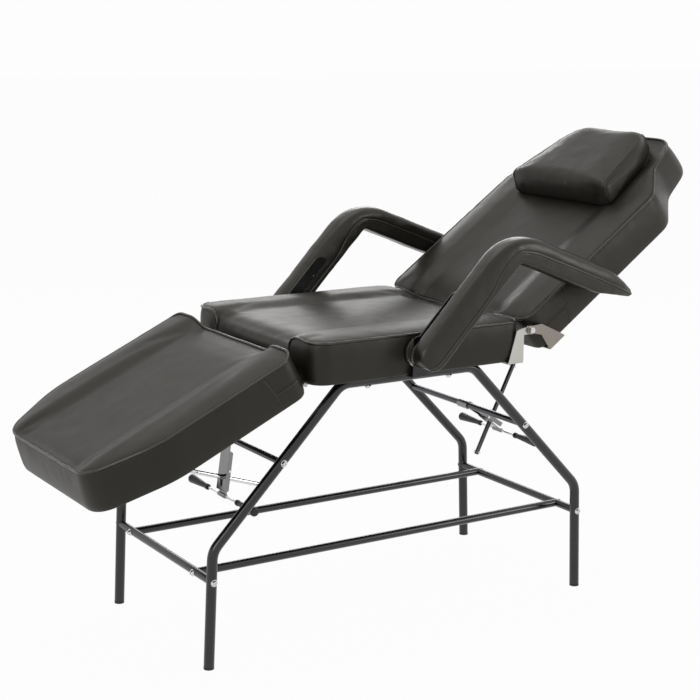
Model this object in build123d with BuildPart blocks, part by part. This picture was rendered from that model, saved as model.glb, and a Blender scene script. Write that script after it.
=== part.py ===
"""A three-section tattoo chair: a bent tube stand, seat, back rest, leg rest, arms and pillow.

Millimetres. The floor is z = 0, +X points to the head end, and +Y to the sitter's right.
Pieces are drawn with x = 0 at the middle of the stand. The last step moves each of them so
that the origin is on the floor below the middle of the whole chair.
"""
from build123d import *
from math import atan2, cos, degrees, radians, sin, tan
import os

os.makedirs("parts", exist_ok=True)

# Stand: two bent side tubes
tube_dia = 25.0
tube_wall = 1.5
leg_spacing = 500.0
foot_x = 548.0
knee_x = 536.0
knee_z = 282.0
bend_radius = 52.0
foot_cap_height = 6.0
foot_plug_length = 18.0
tube_slip = 0.1

# Stand: bars between the side tubes
crossbar_dia = 20.0
crossbar_z = 211.0
rail_spacing = 348.0
lock_bar_dia = 16.0
lock_bar_x = 355.0
lock_bar_z = 469.0
bar_wall = 1.5
bar_plug_length = 22.0
bar_plug_inset = 1.0

# Bolts, with a low round head and a socket, over a washer
bolt_dia = 8.0
bolt_head_dia = 14.0
bolt_head_height = 4.5
bolt_head_top_dia = 10.0
bolt_washer_dia = 17.0
bolt_washer_thick = 1.5
bolt_socket = 5.0
bolt_socket_depth = 2.5
bolt_bite = 16.0

# Wood screws
screw_dia = 4.0
screw_head_dia = 8.0
screw_head_height = 2.4
screw_length = 9.0

# Cushions and their boards
seat_height = 747.0
cushion_thick = 97.0
cushion_width = 608.0
board_thick = 12.0
board_inset = 10.0
board_slip = 0.3
crown_height = 11.0
crown_inset = 62.0
roll_height = 6.0
roll_inset = 11.0
side_draw = 4.0
hollow_width = 400.0
hollow_depth = 13.0

# Seat
seat_front_x = -297.0
seat_length = 597.0
seat_front_corner = 58.0
seat_rear_corner = 34.0
seat_bolt_x = 118.0

# Back rest, in its own plane measured from the side pivots
back_angle = 35.5
back_pivot_x = 322.0
back_pivot_below = 19.0
back_start = 3.0
back_length = 741.0
back_shoulder = 506.0
back_neck = 606.0
back_neck_width = 426.0
back_head_width = 350.0
back_low_corner = 34.0
back_shoulder_radius = 62.0
back_neck_radius = 95.0
back_head_radius = 68.0

# Leg rest, in its own plane measured from the hinge under the boards
leg_angle = 25.0
leg_pivot_x = -280.0
leg_pivot_below = 8.0
leg_start = 22.0
leg_length = 560.0
leg_shoulder = 402.0
leg_foot_width = 464.0
leg_low_corner = 30.0
leg_shoulder_radius = 210.0
leg_foot_radius = 76.0

# Side hinge of the back rest
hinge_plate_thick = 4.0
hinge_gap = 2.0
hinge_play = 0.3
hinge_eye_dia = 22.0
hinge_foot_x = 256.0
hinge_foot_length = 47.0
hinge_foot_width = 44.0
hinge_shoulder = 42.0
hinge_shoulder_radius = 12.0
hinge_corner = 8.0
hinge_bend = 3.0
hinge_arm_start = 19.0
hinge_arm_length = 54.0
hinge_back_shoulder = 34.0
hinge_back_shoulder_below = 8.6
hinge_back_notch = 32.0
hinge_screw_row = 278.0
hinge_screw_start = 8.0
hinge_screw_spread = 18.0
hinge_stud_dia = 8.0
hinge_fit = 0.05
hinge_nut_dia = 15.0
hinge_nut_height = 7.0
hinge_stud_more = 2.0

# Hinge of the leg rest
leaf_thick = 3.0
leaf_width = 48.0
leaf_reach = 62.0
leaf_relief = 0.5
leaf_step = 24.0
leaf_drop = 0.8
leaf_knuckle_dia = 11.0
leaf_pin_dia = 6.0
leaf_spacing = 420.0
leaf_screw_places = (42.0, 54.0)
leaf_screw_spread = 30.0
knuckle_play = 0.3

# Lock at each end: a hooked channel on a chrome bar, a rod, and a canting release plate
channel_width = 42.0
channel_thick = 3.0
channel_flange = 12.0
channel_length = 130.0
flange_start = 26.0
hook_fit = 0.05
hook_wrap = 205.0
rod_dia = 12.0
rod_side_play = 0.4
slot_end_play = 2.0
release_thick = 3.0
release_width = 34.0
release_pivot = 78.0
release_pivot_in = 5.5
release_pin_dia = 4.0
release_rivet_dia = 7.0
release_rivet = 1.5
release_face = 3.2
release_cheek = 4.5
release_cheek_length = 13.0
release_cant = 5.0
lever_place = 64.0
lever_dia = 6.0
lever_length = 300.0
grip_spread = 336.0
grip_length = 92.0
grip_dia = 23.5
grip_neck_dia = 12.0
grip_collar_dia = 15.0
grip_collar = 7.0
grip_end_radius = 5.0

# Rear lock: where its rod crosses the channel, and the reach of the rod
rear_hole = 103.0
rear_channel_angle = -33.5
rear_rod_angle = 63.5
rear_rod_below = 108.0
rear_stop_above = 152.0
rear_stop_inset = 7.0
rear_slot_more = -1.5

# Front lock, whose slot is longer because its rod swings more
front_hole = 97.5
front_channel_angle = -98.0
front_rod_angle = 161.8
front_rod_below = 126.0
front_stop_above = 75.0
front_stop_inset = 26.0
front_slot_more = 16.0

# Rod brackets under the boards, and the cross pins that stop the rods
bracket_drop = 17.0
bracket_length = 34.0
bracket_thick = 3.0
bracket_play = 0.4
bracket_width = 60.0
bracket_ear_length = 22.0
bracket_pin_dia = 6.0
bracket_screw_length = 22.0
bracket_screw_width = 44.0
pin_more = 1.5
rod_end = 8.0
rod_chamfer = 1.2
stop_dia = 5.0
stop_length = 24.0

# Arm rests
arm_width = 68.0
arm_spacing = 700.0
arm_thick = 70.0
arm_low_angle = 46.2
arm_high_angle = 21.5
arm_elbow_x = 223.5
arm_elbow_z = 954.0
arm_low_length = 376.0
arm_high_length = 419.0
arm_taper_length = 140.0
arm_top_taper = 110.0
arm_tip_thick = 16.0
arm_tip_drop = 2.0
arm_tip_share = 0.35
arm_elbow_radius = 150.0
arm_taper_radius = 160.0
arm_inner_radius = 7.0
arm_end_flat = 2.0
arm_round = 14.0
arm_round_share = 0.2
arm_edge = 4.0
arm_plate_thick = 4.0
arm_plate_more = 4.0
arm_plate_length = 150.0
arm_plate_width = 56.0
arm_strap_width = 40.0
arm_foot_reach = 50.0
arm_screw_places = (30.0, 118.0)
arm_screw_length = 24.0
arm_foot_screw_spread = 20.0

# Pillow
pillow_start = 449.0
pillow_end = 690.0
pillow_neck_width = 414.0
pillow_head_width = 300.0
pillow_neck_height = 74.0
pillow_head_height = 54.0
pillow_draw = 12.0
pillow_seam_draw = 4.0
pillow_top_draw = 36.0
pillow_foot_share = -0.2
pillow_belly_share = 0.25
pillow_seam_share = 0.7
pillow_roll_share = 0.92
pillow_corner = 34.0
soft_gap = 0.4

overrun = 2.0

# Places that follow from the sizes above
tube_radius = tube_dia / 2
leg_y = leg_spacing / 2
rail_y = rail_spacing / 2
underside = seat_height - cushion_thick
run_z = underside - tube_radius
slant_share = (knee_x - lock_bar_x) / (lock_bar_z - knee_z)
run_x = lock_bar_x - (run_z - lock_bar_z) * slant_share
shin_share = (foot_x - knee_x) / knee_z
crossbar_x = foot_x - crossbar_z * shin_share
half_width = cushion_width / 2
back_pivot_z = seat_height - back_pivot_below
leg_pivot_z = underside - leg_pivot_below
back_underside = back_pivot_below - cushion_thick
leg_underside = leg_pivot_below
leg_end_x = (
    leg_pivot_x
    - (leg_start + leg_length) * cos(radians(leg_angle))
    - (leg_underside + cushion_thick) * sin(radians(leg_angle))
)
back_end_x = (
    back_pivot_x
    + (back_start + back_length) * cos(radians(back_angle))
    - back_underside * sin(radians(back_angle))
)
middle_x = (leg_end_x + back_end_x) / 2

seat_plane = Plane(origin=(seat_front_x, 0, underside))
back_plane = Plane(
    origin=(back_pivot_x, 0, back_pivot_z),
    x_dir=(cos(radians(back_angle)), 0, sin(radians(back_angle))),
    z_dir=(-sin(radians(back_angle)), 0, cos(radians(back_angle))),
)
leg_plane = Plane(
    origin=(leg_pivot_x, 0, leg_pivot_z),
    x_dir=(-cos(radians(leg_angle)), 0, -sin(radians(leg_angle))),
    z_dir=(-sin(radians(leg_angle)), 0, cos(radians(leg_angle))),
)
leg_hinge_plane = Plane(origin=(leg_pivot_x, 0, leg_pivot_z))
back_board_plane = back_plane.offset(back_underside)
leg_board_plane = leg_plane.offset(leg_underside)
web_in = lock_bar_dia / 2 + hook_fit
web_out = web_in + channel_thick
rod_slot_width = rod_dia + 2 * rod_side_play
rod_slot_length = rod_dia + 2 * slot_end_play
bracket_gap = rod_dia + 2 * bracket_play
arm_end_x = arm_elbow_x - (arm_low_length - arm_thick / 2) * cos(radians(arm_low_angle))
arm_end_z = arm_elbow_z - (arm_low_length - arm_thick / 2) * sin(radians(arm_low_angle))


def finish(part, name):
    """Move a finished piece so that the middle of the chair is over the origin, and write it."""
    piece = part.moved(Location((-middle_x, 0, 0)))
    piece.label = name
    export_step(piece, f"parts/{name}.step")


def side_plane(y):
    """The upright plane along the chair at this y, with x along the chair and y up."""
    return Plane.XZ.offset(-y)


def shifted(plane, x=0, y=0, z=0):
    """The same plane moved within itself."""
    return Plane(origin=plane.from_local_coords((x, y, z)), x_dir=plane.x_dir, z_dir=plane.z_dir)


def across(plane, x=0, z=0):
    """The plane square to the given one at (x, 0, z) in it, whose x axis is its y axis."""
    return Plane(
        origin=plane.from_local_coords((x, 0, z)), x_dir=plane.y_dir, z_dir=plane.x_dir
    )


def profile(plane, y=0):
    """The given plane seen from its side: x stays, y is its height, and z points sideways."""
    return Plane(
        origin=plane.from_local_coords((0, y, 0)), x_dir=plane.x_dir, z_dir=-plane.y_dir
    )


def drill(seats, dia, depth):
    """Holes of the given depth, one down each seat plane."""
    with Locations(*seats):
        Hole(dia / 2, depth)


def crossing(plane, rod, height):
    """Where the line of a rod passes the given height above a plane: its x in that plane."""
    first = plane.to_local_coords(rod.origin)
    last = plane.to_local_coords(rod.origin + rod.z_dir)
    share = (height - first.Z) / (last.Z - first.Z)
    return first.X + share * (last.X - first.X)


def lock_frame(side, angle):
    """Frame of a lock: origin on its bar, x along the channel, z towards the cushion it holds."""
    turn = radians(angle)
    return Plane(
        origin=(side * lock_bar_x, 0, lock_bar_z),
        x_dir=(cos(turn), 0, sin(turn)),
        z_dir=(-side * sin(turn), 0, side * cos(turn)),
    )


def rod_frame(lock, hole, angle):
    """Frame of a rod: origin where it crosses the channel, z up along the rod."""
    turn = radians(angle)
    return Plane(
        origin=lock.from_local_coords((hole, 0, (web_in + web_out) / 2)),
        x_dir=(sin(turn), 0, -cos(turn)),
        z_dir=(cos(turn), 0, sin(turn)),
    )


def release_frame(lock):
    """Frame of a release plate: origin on its pin, canted away from the channel."""
    pin = shifted(lock, x=release_pivot, z=web_in - release_pivot_in)
    return pin.rotated((0, release_cant, 0))


def screw_seats(board_plane, thick, xs, ys):
    """Seats for screws through a plate of this thickness into the underside of a board."""
    return [
        Plane(
            origin=board_plane.from_local_coords((x, y, -thick)),
            x_dir=board_plane.x_dir,
            z_dir=-board_plane.z_dir,
        )
        for x in xs
        for y in ys
    ]


def pair(middle, spread):
    """Two places a spread apart about a middle."""
    return (middle - spread / 2, middle + spread / 2)


def both_sides(places):
    """The same places on both sides of the chair."""
    return [side * place for side in (-1, 1) for place in places]


rear_lock = lock_frame(1, rear_channel_angle)
front_lock = lock_frame(-1, front_channel_angle)
rear_rod = rod_frame(rear_lock, rear_hole, rear_rod_angle)
front_rod = rod_frame(front_lock, front_hole, front_rod_angle)
back_pin_place = crossing(back_board_plane, rear_rod, -bracket_drop)
leg_pin_place = crossing(leg_board_plane, front_rod, -bracket_drop)
back_pin = back_board_plane.from_local_coords((back_pin_place, 0, -bracket_drop))
leg_pin = leg_board_plane.from_local_coords((leg_pin_place, 0, -bracket_drop))
back_rod_reach = rear_rod.to_local_coords(back_pin).Z
leg_rod_reach = front_rod.to_local_coords(leg_pin).Z

# Where the screws go
board_base = Plane(origin=(0, 0, underside))
leaf_rows = both_sides(pair(leaf_spacing / 2, leaf_screw_spread))
seat_hinge_seats = screw_seats(
    board_base,
    hinge_plate_thick,
    (hinge_foot_x + hinge_screw_start, hinge_foot_x + hinge_screw_start + hinge_screw_spread),
    both_sides([hinge_screw_row]),
)
back_hinge_seats = screw_seats(
    back_board_plane,
    hinge_plate_thick,
    pair(hinge_arm_start + hinge_arm_length / 2, hinge_screw_spread),
    both_sides([hinge_screw_row]),
)
seat_leaf_seats = screw_seats(
    board_base, leaf_thick, [leg_pivot_x + place for place in leaf_screw_places], leaf_rows
)
leg_leaf_seats = screw_seats(leg_board_plane, leaf_thick, leaf_screw_places, leaf_rows)
arm_foot_seats = screw_seats(
    board_base,
    arm_plate_thick,
    pair(arm_end_x, arm_foot_screw_spread),
    both_sides([hinge_screw_row]),
)
back_bracket_seats = screw_seats(
    back_board_plane,
    bracket_thick,
    pair(back_pin_place, bracket_screw_length),
    pair(0, bracket_screw_width),
)
leg_bracket_seats = screw_seats(
    leg_board_plane,
    bracket_thick,
    pair(leg_pin_place, bracket_screw_length),
    pair(0, bracket_screw_width),
)
arm_seats = [
    Plane(
        origin=(
            arm_end_x + place * cos(radians(arm_low_angle)),
            side * (arm_spacing / 2 - arm_width / 2 - arm_plate_thick),
            arm_end_z + place * sin(radians(arm_low_angle)),
        ),
        z_dir=(0, -side, 0),
    )
    for side in (-1, 1)
    for place in arm_screw_places
]


def bolt_group(name, seats, grip):
    """Bolts with washers, one on each seat plane, whose shanks reach grip below the seat."""
    with BuildPart() as bolts:
        for seat in seats:
            with BuildSketch(seat):
                Circle(bolt_dia / 2)
            extrude(amount=-grip)
            with BuildSketch(seat):
                Circle(bolt_washer_dia / 2)
            extrude(amount=bolt_washer_thick)
            with BuildSketch(seat.offset(bolt_washer_thick)):
                Circle(bolt_head_dia / 2)
            with BuildSketch(seat.offset(bolt_washer_thick + bolt_head_height)):
                Circle(bolt_head_top_dia / 2)
            loft()
            with BuildSketch(seat.offset(bolt_washer_thick + bolt_head_height)):
                RegularPolygon(bolt_socket / 2, 6)
            extrude(amount=-bolt_socket_depth, mode=Mode.SUBTRACT)
    finish(bolts.part, name)


def screw_group(name, seats, length):
    """Wood screws with low cone heads, one on each seat plane, pointing down it."""
    with BuildPart() as screws:
        for seat in seats:
            with BuildSketch(seat):
                Circle(screw_dia / 2)
            extrude(amount=-length)
            with BuildSketch(seat):
                Circle(screw_head_dia / 2)
            with BuildSketch(seat.offset(screw_head_height)):
                Circle(screw_dia / 2)
            loft()
    finish(screws.part, name)


# Stand

def leg_axis(side, x, z):
    """The line of a leg through (x, z): along the slanted part above the knee, or the shin."""
    if z > knee_z:
        return (-side * slant_share, 0, 1)
    return (-side * shin_share, 0, 1)


def build_side_frame(name, y):
    """One side of the stand: foot, shin, slanted part and the run under the seat, in one tube."""
    sunk = overrun * shin_share
    points = [
        (-foot_x - sunk, -overrun),
        (-knee_x, knee_z),
        (-run_x, run_z),
        (run_x, run_z),
        (knee_x, knee_z),
        (foot_x + sunk, -overrun),
    ]
    with BuildPart() as frame:
        with BuildLine(side_plane(y)) as route:
            FilletPolyline(*points, radius=bend_radius)
        with BuildSketch(Plane(origin=route.line @ 0, z_dir=route.line % 0)):
            Circle(tube_radius)
            Circle(tube_radius - tube_wall, mode=Mode.SUBTRACT)
        sweep()
        split(bisect_by=Plane.XY.offset(foot_cap_height), keep=Keep.TOP)
        with BuildSketch(Plane.XZ):
            with Locations(
                (-crossbar_x, crossbar_z),
                (crossbar_x, crossbar_z),
                (-lock_bar_x, lock_bar_z),
                (lock_bar_x, lock_bar_z),
            ):
                Circle(bolt_dia / 2)
        extrude(amount=leg_spacing, both=True, mode=Mode.SUBTRACT)
        with BuildSketch(Plane.XY.offset(underside)):
            with Locations((-seat_bolt_x, y), (seat_bolt_x, y)):
                Circle(bolt_dia / 2)
        extrude(amount=-tube_dia - overrun, mode=Mode.SUBTRACT)
    finish(frame.part, name)


def build_foot_plugs():
    """Plastic plugs that close the four tube ends and stand on the floor."""
    with BuildPart() as plugs:
        for x in (-foot_x, foot_x):
            for y in (-leg_y, leg_y):
                lean = (-shin_share if x > 0 else shin_share, 0, 1)
                with BuildSketch(Plane(origin=(x, y, 0))):
                    Circle(tube_radius)
                extrude(amount=foot_cap_height)
                with BuildSketch(Plane(origin=(x, y, 0), z_dir=lean)):
                    Circle(tube_radius - tube_wall - tube_slip)
                extrude(amount=foot_cap_height + foot_plug_length)
        split(bisect_by=Plane.XY, keep=Keep.TOP)
    finish(plugs.part, "foot_plugs")


def build_bar(name, x, z, dia):
    """A tube across the stand, with its ends hollowed to sit on the two side tubes."""
    side = 1 if x > 0 else -1
    with BuildPart() as bar:
        with BuildSketch(Plane.XZ):
            with Locations((x, z)):
                Circle(dia / 2)
                Circle(dia / 2 - bar_wall, mode=Mode.SUBTRACT)
        extrude(amount=leg_y, both=True)
        for y in (-leg_y, leg_y):
            with BuildSketch(Plane(origin=(x, y, z), z_dir=leg_axis(side, x, z))):
                Circle(tube_radius)
            extrude(amount=tube_dia + dia, both=True, mode=Mode.SUBTRACT)
        if z == crossbar_z:
            with BuildSketch(Plane(origin=(x, 0, z), x_dir=(0, 1, 0), z_dir=(1, 0, 0))):
                with Locations((-rail_y, 0), (rail_y, 0)):
                    Circle(bolt_dia / 2)
            extrude(amount=dia, both=True, mode=Mode.SUBTRACT)
    finish(bar.part, name)


def build_rail(name, y):
    """A tube along the stand between the two lower crossbars."""
    with BuildPart() as rail:
        with BuildSketch(Plane.YZ):
            with Locations((y, crossbar_z)):
                Circle(crossbar_dia / 2)
                Circle(crossbar_dia / 2 - bar_wall, mode=Mode.SUBTRACT)
        extrude(amount=crossbar_x, both=True)
        with BuildSketch(Plane.XZ):
            with Locations((-crossbar_x, crossbar_z), (crossbar_x, crossbar_z)):
                Circle(crossbar_dia / 2)
        extrude(amount=leg_y, both=True, mode=Mode.SUBTRACT)
    finish(rail.part, name)


def build_bar_plugs(name, ends, bore_dia):
    """Threaded plugs in the bar ends; each end plane faces out of its bar."""
    with BuildPart() as plugs:
        for end in ends:
            with BuildSketch(end.offset(-bar_plug_inset)):
                Circle(bore_dia / 2)
                Circle(bolt_dia / 2, mode=Mode.SUBTRACT)
            extrude(amount=-bar_plug_length)
    finish(plugs.part, name)


def outward(x, y, z, direction):
    """A plane at a place, facing the given way."""
    return Plane(origin=(x, y, z), z_dir=direction)


def build_stand():
    """The whole stand with its plugs and bolts."""
    build_side_frame("left_side_frame", -leg_y)
    build_side_frame("right_side_frame", leg_y)
    build_foot_plugs()
    build_bar("front_crossbar", -crossbar_x, crossbar_z, crossbar_dia)
    build_bar("rear_crossbar", crossbar_x, crossbar_z, crossbar_dia)
    build_bar("front_lock_bar", -lock_bar_x, lock_bar_z, lock_bar_dia)
    build_bar("rear_lock_bar", lock_bar_x, lock_bar_z, lock_bar_dia)
    build_rail("left_rail", -rail_y)
    build_rail("right_rail", rail_y)
    inner = leg_y - tube_radius
    outer = leg_y + tube_radius
    sides = (-1, 1)
    crossbar_ends = [
        outward(x, s * inner, crossbar_z, (0, s, 0)) for x in (-crossbar_x, crossbar_x) for s in sides
    ]
    rail_end = crossbar_x - crossbar_dia / 2
    rail_ends = [
        outward(s * rail_end, y, crossbar_z, (s, 0, 0)) for s in sides for y in (-rail_y, rail_y)
    ]
    lock_bar_ends = [
        outward(x, s * inner, lock_bar_z, (0, s, 0)) for x in (-lock_bar_x, lock_bar_x) for s in sides
    ]
    build_bar_plugs("crossbar_plugs", crossbar_ends + rail_ends, crossbar_dia - 2 * bar_wall)
    build_bar_plugs("lock_bar_plugs", lock_bar_ends, lock_bar_dia - 2 * bar_wall)
    crossbar_seats = [
        outward(x, s * outer, crossbar_z, (0, s, 0)) for x in (-crossbar_x, crossbar_x) for s in sides
    ]
    lock_bar_seats = [
        outward(x, s * outer, lock_bar_z, (0, s, 0)) for x in (-lock_bar_x, lock_bar_x) for s in sides
    ]
    rail_seat = crossbar_x + crossbar_dia / 2
    rail_seats = [
        outward(s * rail_seat, y, crossbar_z, (s, 0, 0)) for s in sides for y in (-rail_y, rail_y)
    ]
    seat_bolt_seats = [
        outward(x, y, underside - tube_dia, (0, 0, -1))
        for x in (-seat_bolt_x, seat_bolt_x)
        for y in (-leg_y, leg_y)
    ]
    bolt_group("crossbar_bolts", crossbar_seats, tube_dia + bolt_bite)
    bolt_group("lock_bar_bolts", lock_bar_seats, tube_dia + bolt_bite)
    bolt_group("rail_bolts", rail_seats, crossbar_dia + bolt_bite)
    bolt_group("seat_bolts", seat_bolt_seats, tube_dia + board_thick)


# Cushions

def outline_face(corners, radii):
    """A closed outline with rounded corners, filled."""
    with BuildLine() as edge:
        FilletPolyline(*corners, radius=radii, close=True)
    make_face(edge.edges())


def mirrored(half):
    """Corners along one side, then the same corners back along the other."""
    return half + [(x, -y) for x, y in reversed(half)]


def shrunk(radius, inset):
    """A corner radius that shrinks with its outline but never vanishes."""
    return radius * (1 - inset / (2 * crown_inset))


def seat_outline(inset):
    """Seat seen from above, x from its front edge."""
    half = [(inset, half_width - inset), (seat_length - inset, half_width - inset)]
    radii = [shrunk(seat_front_corner, inset), shrunk(seat_rear_corner, inset)]
    outline_face(mirrored(half), radii + radii[::-1])


def back_outline(inset):
    """Back rest seen from its face, x from the pivots: wide below, with a narrow head."""
    end = back_start + back_length - inset
    half = [
        (back_start + inset, half_width - inset),
        (back_shoulder - inset / 2, half_width - inset),
        (back_neck - inset / 2, back_neck_width / 2 - inset),
        (end, back_head_width / 2 - inset),
    ]
    radii = [
        shrunk(back_low_corner, inset),
        shrunk(back_shoulder_radius, inset),
        back_neck_radius + inset / 2,
        shrunk(back_head_radius, inset),
    ]
    outline_face(mirrored(half), radii + radii[::-1])


def leg_outline(inset):
    """Leg rest seen from its face, x from its hinge towards the feet."""
    half = [
        (leg_start + inset, half_width - inset),
        (leg_shoulder, half_width - inset),
        (leg_start + leg_length - inset, leg_foot_width / 2 - inset),
    ]
    radii = [
        shrunk(leg_low_corner, inset),
        shrunk(leg_shoulder_radius, inset),
        shrunk(leg_foot_radius, inset),
    ]
    outline_face(mirrored(half), radii + radii[::-1])


def build_cushion(name, plane, outline, start, length):
    """A crowned cushion with drawn-in sides, a long hollow between two bolsters, and a pocket
    for its board."""
    bolster_top = cushion_thick + crown_height
    with BuildPart() as cushion:
        for height, inset in ((0, side_draw), (cushion_thick / 2, 0), (cushion_thick, side_draw)):
            with BuildSketch(plane.offset(height)):
                outline(inset)
        loft()
        for height, inset in (
            (cushion_thick, side_draw),
            (cushion_thick + roll_height, roll_inset),
            (bolster_top, crown_inset),
        ):
            with BuildSketch(plane.offset(height)):
                outline(inset)
        loft()
        with BuildSketch(across(plane, start - overrun)):
            with BuildLine():
                ThreePointArc(
                    (-hollow_width / 2, bolster_top),
                    (0, bolster_top - hollow_depth),
                    (hollow_width / 2, bolster_top),
                )
                Polyline(
                    (hollow_width / 2, bolster_top),
                    (hollow_width / 2, bolster_top + hollow_depth),
                    (-hollow_width / 2, bolster_top + hollow_depth),
                    (-hollow_width / 2, bolster_top),
                )
            make_face()
        extrude(amount=length + 2 * overrun, mode=Mode.SUBTRACT)
        with BuildSketch(plane):
            outline(board_inset)
        extrude(amount=board_thick, mode=Mode.SUBTRACT)
    finish(cushion.part, name)


def build_board(name, plane, outline, holes, seats):
    """The plywood under a cushion, with bolt holes at (x, y) in the plane and screw holes."""
    with BuildPart() as board:
        with BuildSketch(plane):
            outline(board_inset + board_slip)
            if holes:
                with Locations(*holes):
                    Circle(bolt_dia / 2, mode=Mode.SUBTRACT)
        extrude(amount=board_thick)
        drill(seats, screw_dia, screw_length)
    finish(board.part, name)


def build_cushions():
    """The three cushions and their boards."""
    seat_holes = [
        (x - seat_front_x, y) for x in (-seat_bolt_x, seat_bolt_x) for y in (-leg_y, leg_y)
    ]
    seat_seats = seat_hinge_seats + seat_leaf_seats + arm_foot_seats
    build_board("seat_board", seat_plane, seat_outline, seat_holes, seat_seats)
    back_seats = back_hinge_seats + back_bracket_seats
    build_board("back_board", back_board_plane, back_outline, [], back_seats)
    leg_seats = leg_leaf_seats + leg_bracket_seats
    build_board("leg_board", leg_board_plane, leg_outline, [], leg_seats)
    build_cushion("seat_cushion", seat_plane, seat_outline, 0, seat_length)
    build_cushion("back_cushion", back_board_plane, back_outline, back_start, back_length)
    build_cushion("leg_cushion", leg_board_plane, leg_outline, leg_start, leg_length)


def build_pillow():
    """A wedge pillow, wide and thick at the neck, whose underside lies in the hollow of the
    back rest."""
    base = back_plane.offset(back_pivot_below + crown_height + soft_gap)
    length = pillow_end - pillow_start
    fall = degrees(atan2(pillow_neck_height - pillow_head_height, length))
    levels = (
        (pillow_foot_share, pillow_draw),
        (pillow_belly_share, 0),
        (pillow_seam_share, pillow_seam_draw),
        (pillow_roll_share, pillow_draw),
        (1, pillow_top_draw),
    )
    with BuildPart() as pillow:
        for first, last in ((0, 3), (2, 5)):
            for share, inset in levels[first:last]:
                level = shifted(base, x=pillow_start, z=pillow_neck_height * share)
                half = [
                    (inset, pillow_neck_width / 2 - inset),
                    (length - inset, pillow_head_width / 2 - inset),
                ]
                with BuildSketch(level.rotated((0, fall * share, 0))):
                    outline_face(mirrored(half), pillow_corner)
            loft()
        with BuildSketch(across(base, pillow_start - overrun)):
            with BuildLine():
                ThreePointArc(
                    (-hollow_width / 2, 0), (0, -hollow_depth), (hollow_width / 2, 0)
                )
                Polyline(
                    (hollow_width / 2, 0),
                    (pillow_neck_width, 0),
                    (pillow_neck_width, -pillow_neck_height),
                    (-pillow_neck_width, -pillow_neck_height),
                    (-pillow_neck_width, 0),
                    (-hollow_width / 2, 0),
                )
            make_face()
        extrude(amount=length + 2 * overrun, mode=Mode.SUBTRACT)
    finish(pillow.part, "head_pillow")


# Hinges of the back rest, one on each side

def build_seat_hinge_plate(name, side):
    """A plate that stands beside the seat, carries the pivot, and is folded under the board."""
    inner = side * (half_width + hinge_gap)
    outer = inner + side * hinge_plate_thick
    eye = hinge_eye_dia / 2
    foot_end = hinge_foot_x + hinge_foot_length
    with BuildPart() as plate:
        with BuildSketch(side_plane(inner)):
            with BuildLine():
                FilletPolyline(
                    (hinge_foot_x, underside - hinge_plate_thick),
                    (foot_end, underside - hinge_plate_thick),
                    (foot_end, back_pivot_z - eye),
                    (back_pivot_x, back_pivot_z - eye),
                    (back_pivot_x, back_pivot_z + eye),
                    (back_pivot_x - hinge_shoulder, back_pivot_z),
                    radius=[0, hinge_corner, 0, 0, hinge_shoulder_radius, 0],
                    close=True,
                )
            make_face()
            with Locations((back_pivot_x, back_pivot_z)):
                Circle(eye)
                Circle(hinge_stud_dia / 2, mode=Mode.SUBTRACT)
        extrude(amount=-side * hinge_plate_thick)
        with BuildSketch(Plane.XY.offset(underside)):
            with Locations((hinge_foot_x + hinge_foot_length / 2, outer - side * hinge_foot_width / 2)):
                Rectangle(hinge_foot_length, hinge_foot_width)
        extrude(amount=-hinge_plate_thick)
        fillet(
            plate.edges().filter_by(Axis.X).filter_by_position(
                Axis.Z, underside - hinge_plate_thick, underside - hinge_plate_thick
            ).filter_by_position(Axis.Y, outer, outer),
            hinge_bend,
        )
        drill(seat_hinge_seats, screw_dia, screw_length)
    finish(plate.part, name)


def build_back_hinge_plate(name, side):
    """A plate on the side of the back rest, turning on the stud and folded under its board."""
    inner = side * (half_width + hinge_gap + hinge_plate_thick + hinge_play)
    outer = inner + side * hinge_plate_thick
    eye = hinge_eye_dia / 2
    foot_bottom = back_underside - hinge_plate_thick
    with BuildPart() as plate:
        with BuildSketch(profile(back_plane, inner)):
            with BuildLine():
                FilletPolyline(
                    (0, eye),
                    (hinge_back_shoulder, -hinge_back_shoulder_below),
                    (hinge_arm_start + hinge_arm_length, back_underside),
                    (hinge_arm_start + hinge_arm_length, foot_bottom),
                    (hinge_arm_start, foot_bottom),
                    (hinge_arm_start, -hinge_back_notch),
                    (0, -eye),
                    radius=[0, hinge_shoulder_radius, 0, 0, 0, hinge_corner, 0],
                    close=True,
                )
            make_face()
            Circle(eye)
            Circle(hinge_stud_dia / 2 + hinge_fit, mode=Mode.SUBTRACT)
        extrude(amount=-side * hinge_plate_thick)
        foot = shifted(
            back_board_plane,
            x=hinge_arm_start + hinge_arm_length / 2,
            y=outer - side * hinge_foot_width / 2,
        )
        with BuildSketch(foot):
            Rectangle(hinge_arm_length, hinge_foot_width)
        extrude(amount=-hinge_plate_thick)
        drill(back_hinge_seats, screw_dia, screw_length)
    finish(plate.part, name)


def build_hinge_studs():
    """The two pivot studs of the back rest and their nuts."""
    start = half_width + hinge_gap
    nut_start = start + 2 * hinge_plate_thick + 2 * hinge_play
    with BuildPart() as studs:
        for side in (-1, 1):
            with BuildSketch(side_plane(side * start)):
                with Locations((back_pivot_x, back_pivot_z)):
                    Circle(hinge_stud_dia / 2)
            extrude(amount=-side * (nut_start - start + hinge_nut_height + hinge_stud_more))
        chamfer(studs.edges().group_by(Axis.Y)[0], hinge_stud_more / 2)
        chamfer(studs.edges().group_by(Axis.Y)[-1], hinge_stud_more / 2)
    finish(studs.part, "hinge_studs")
    with BuildPart() as nuts:
        for side in (-1, 1):
            with BuildSketch(side_plane(side * nut_start)):
                with Locations((back_pivot_x, back_pivot_z)):
                    RegularPolygon(hinge_nut_dia / 2, 6)
                    Circle(hinge_stud_dia / 2, mode=Mode.SUBTRACT)
            extrude(amount=-side * hinge_nut_height)
    finish(nuts.part, "hinge_nuts")


# Hinges between the seat and the leg rest

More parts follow.
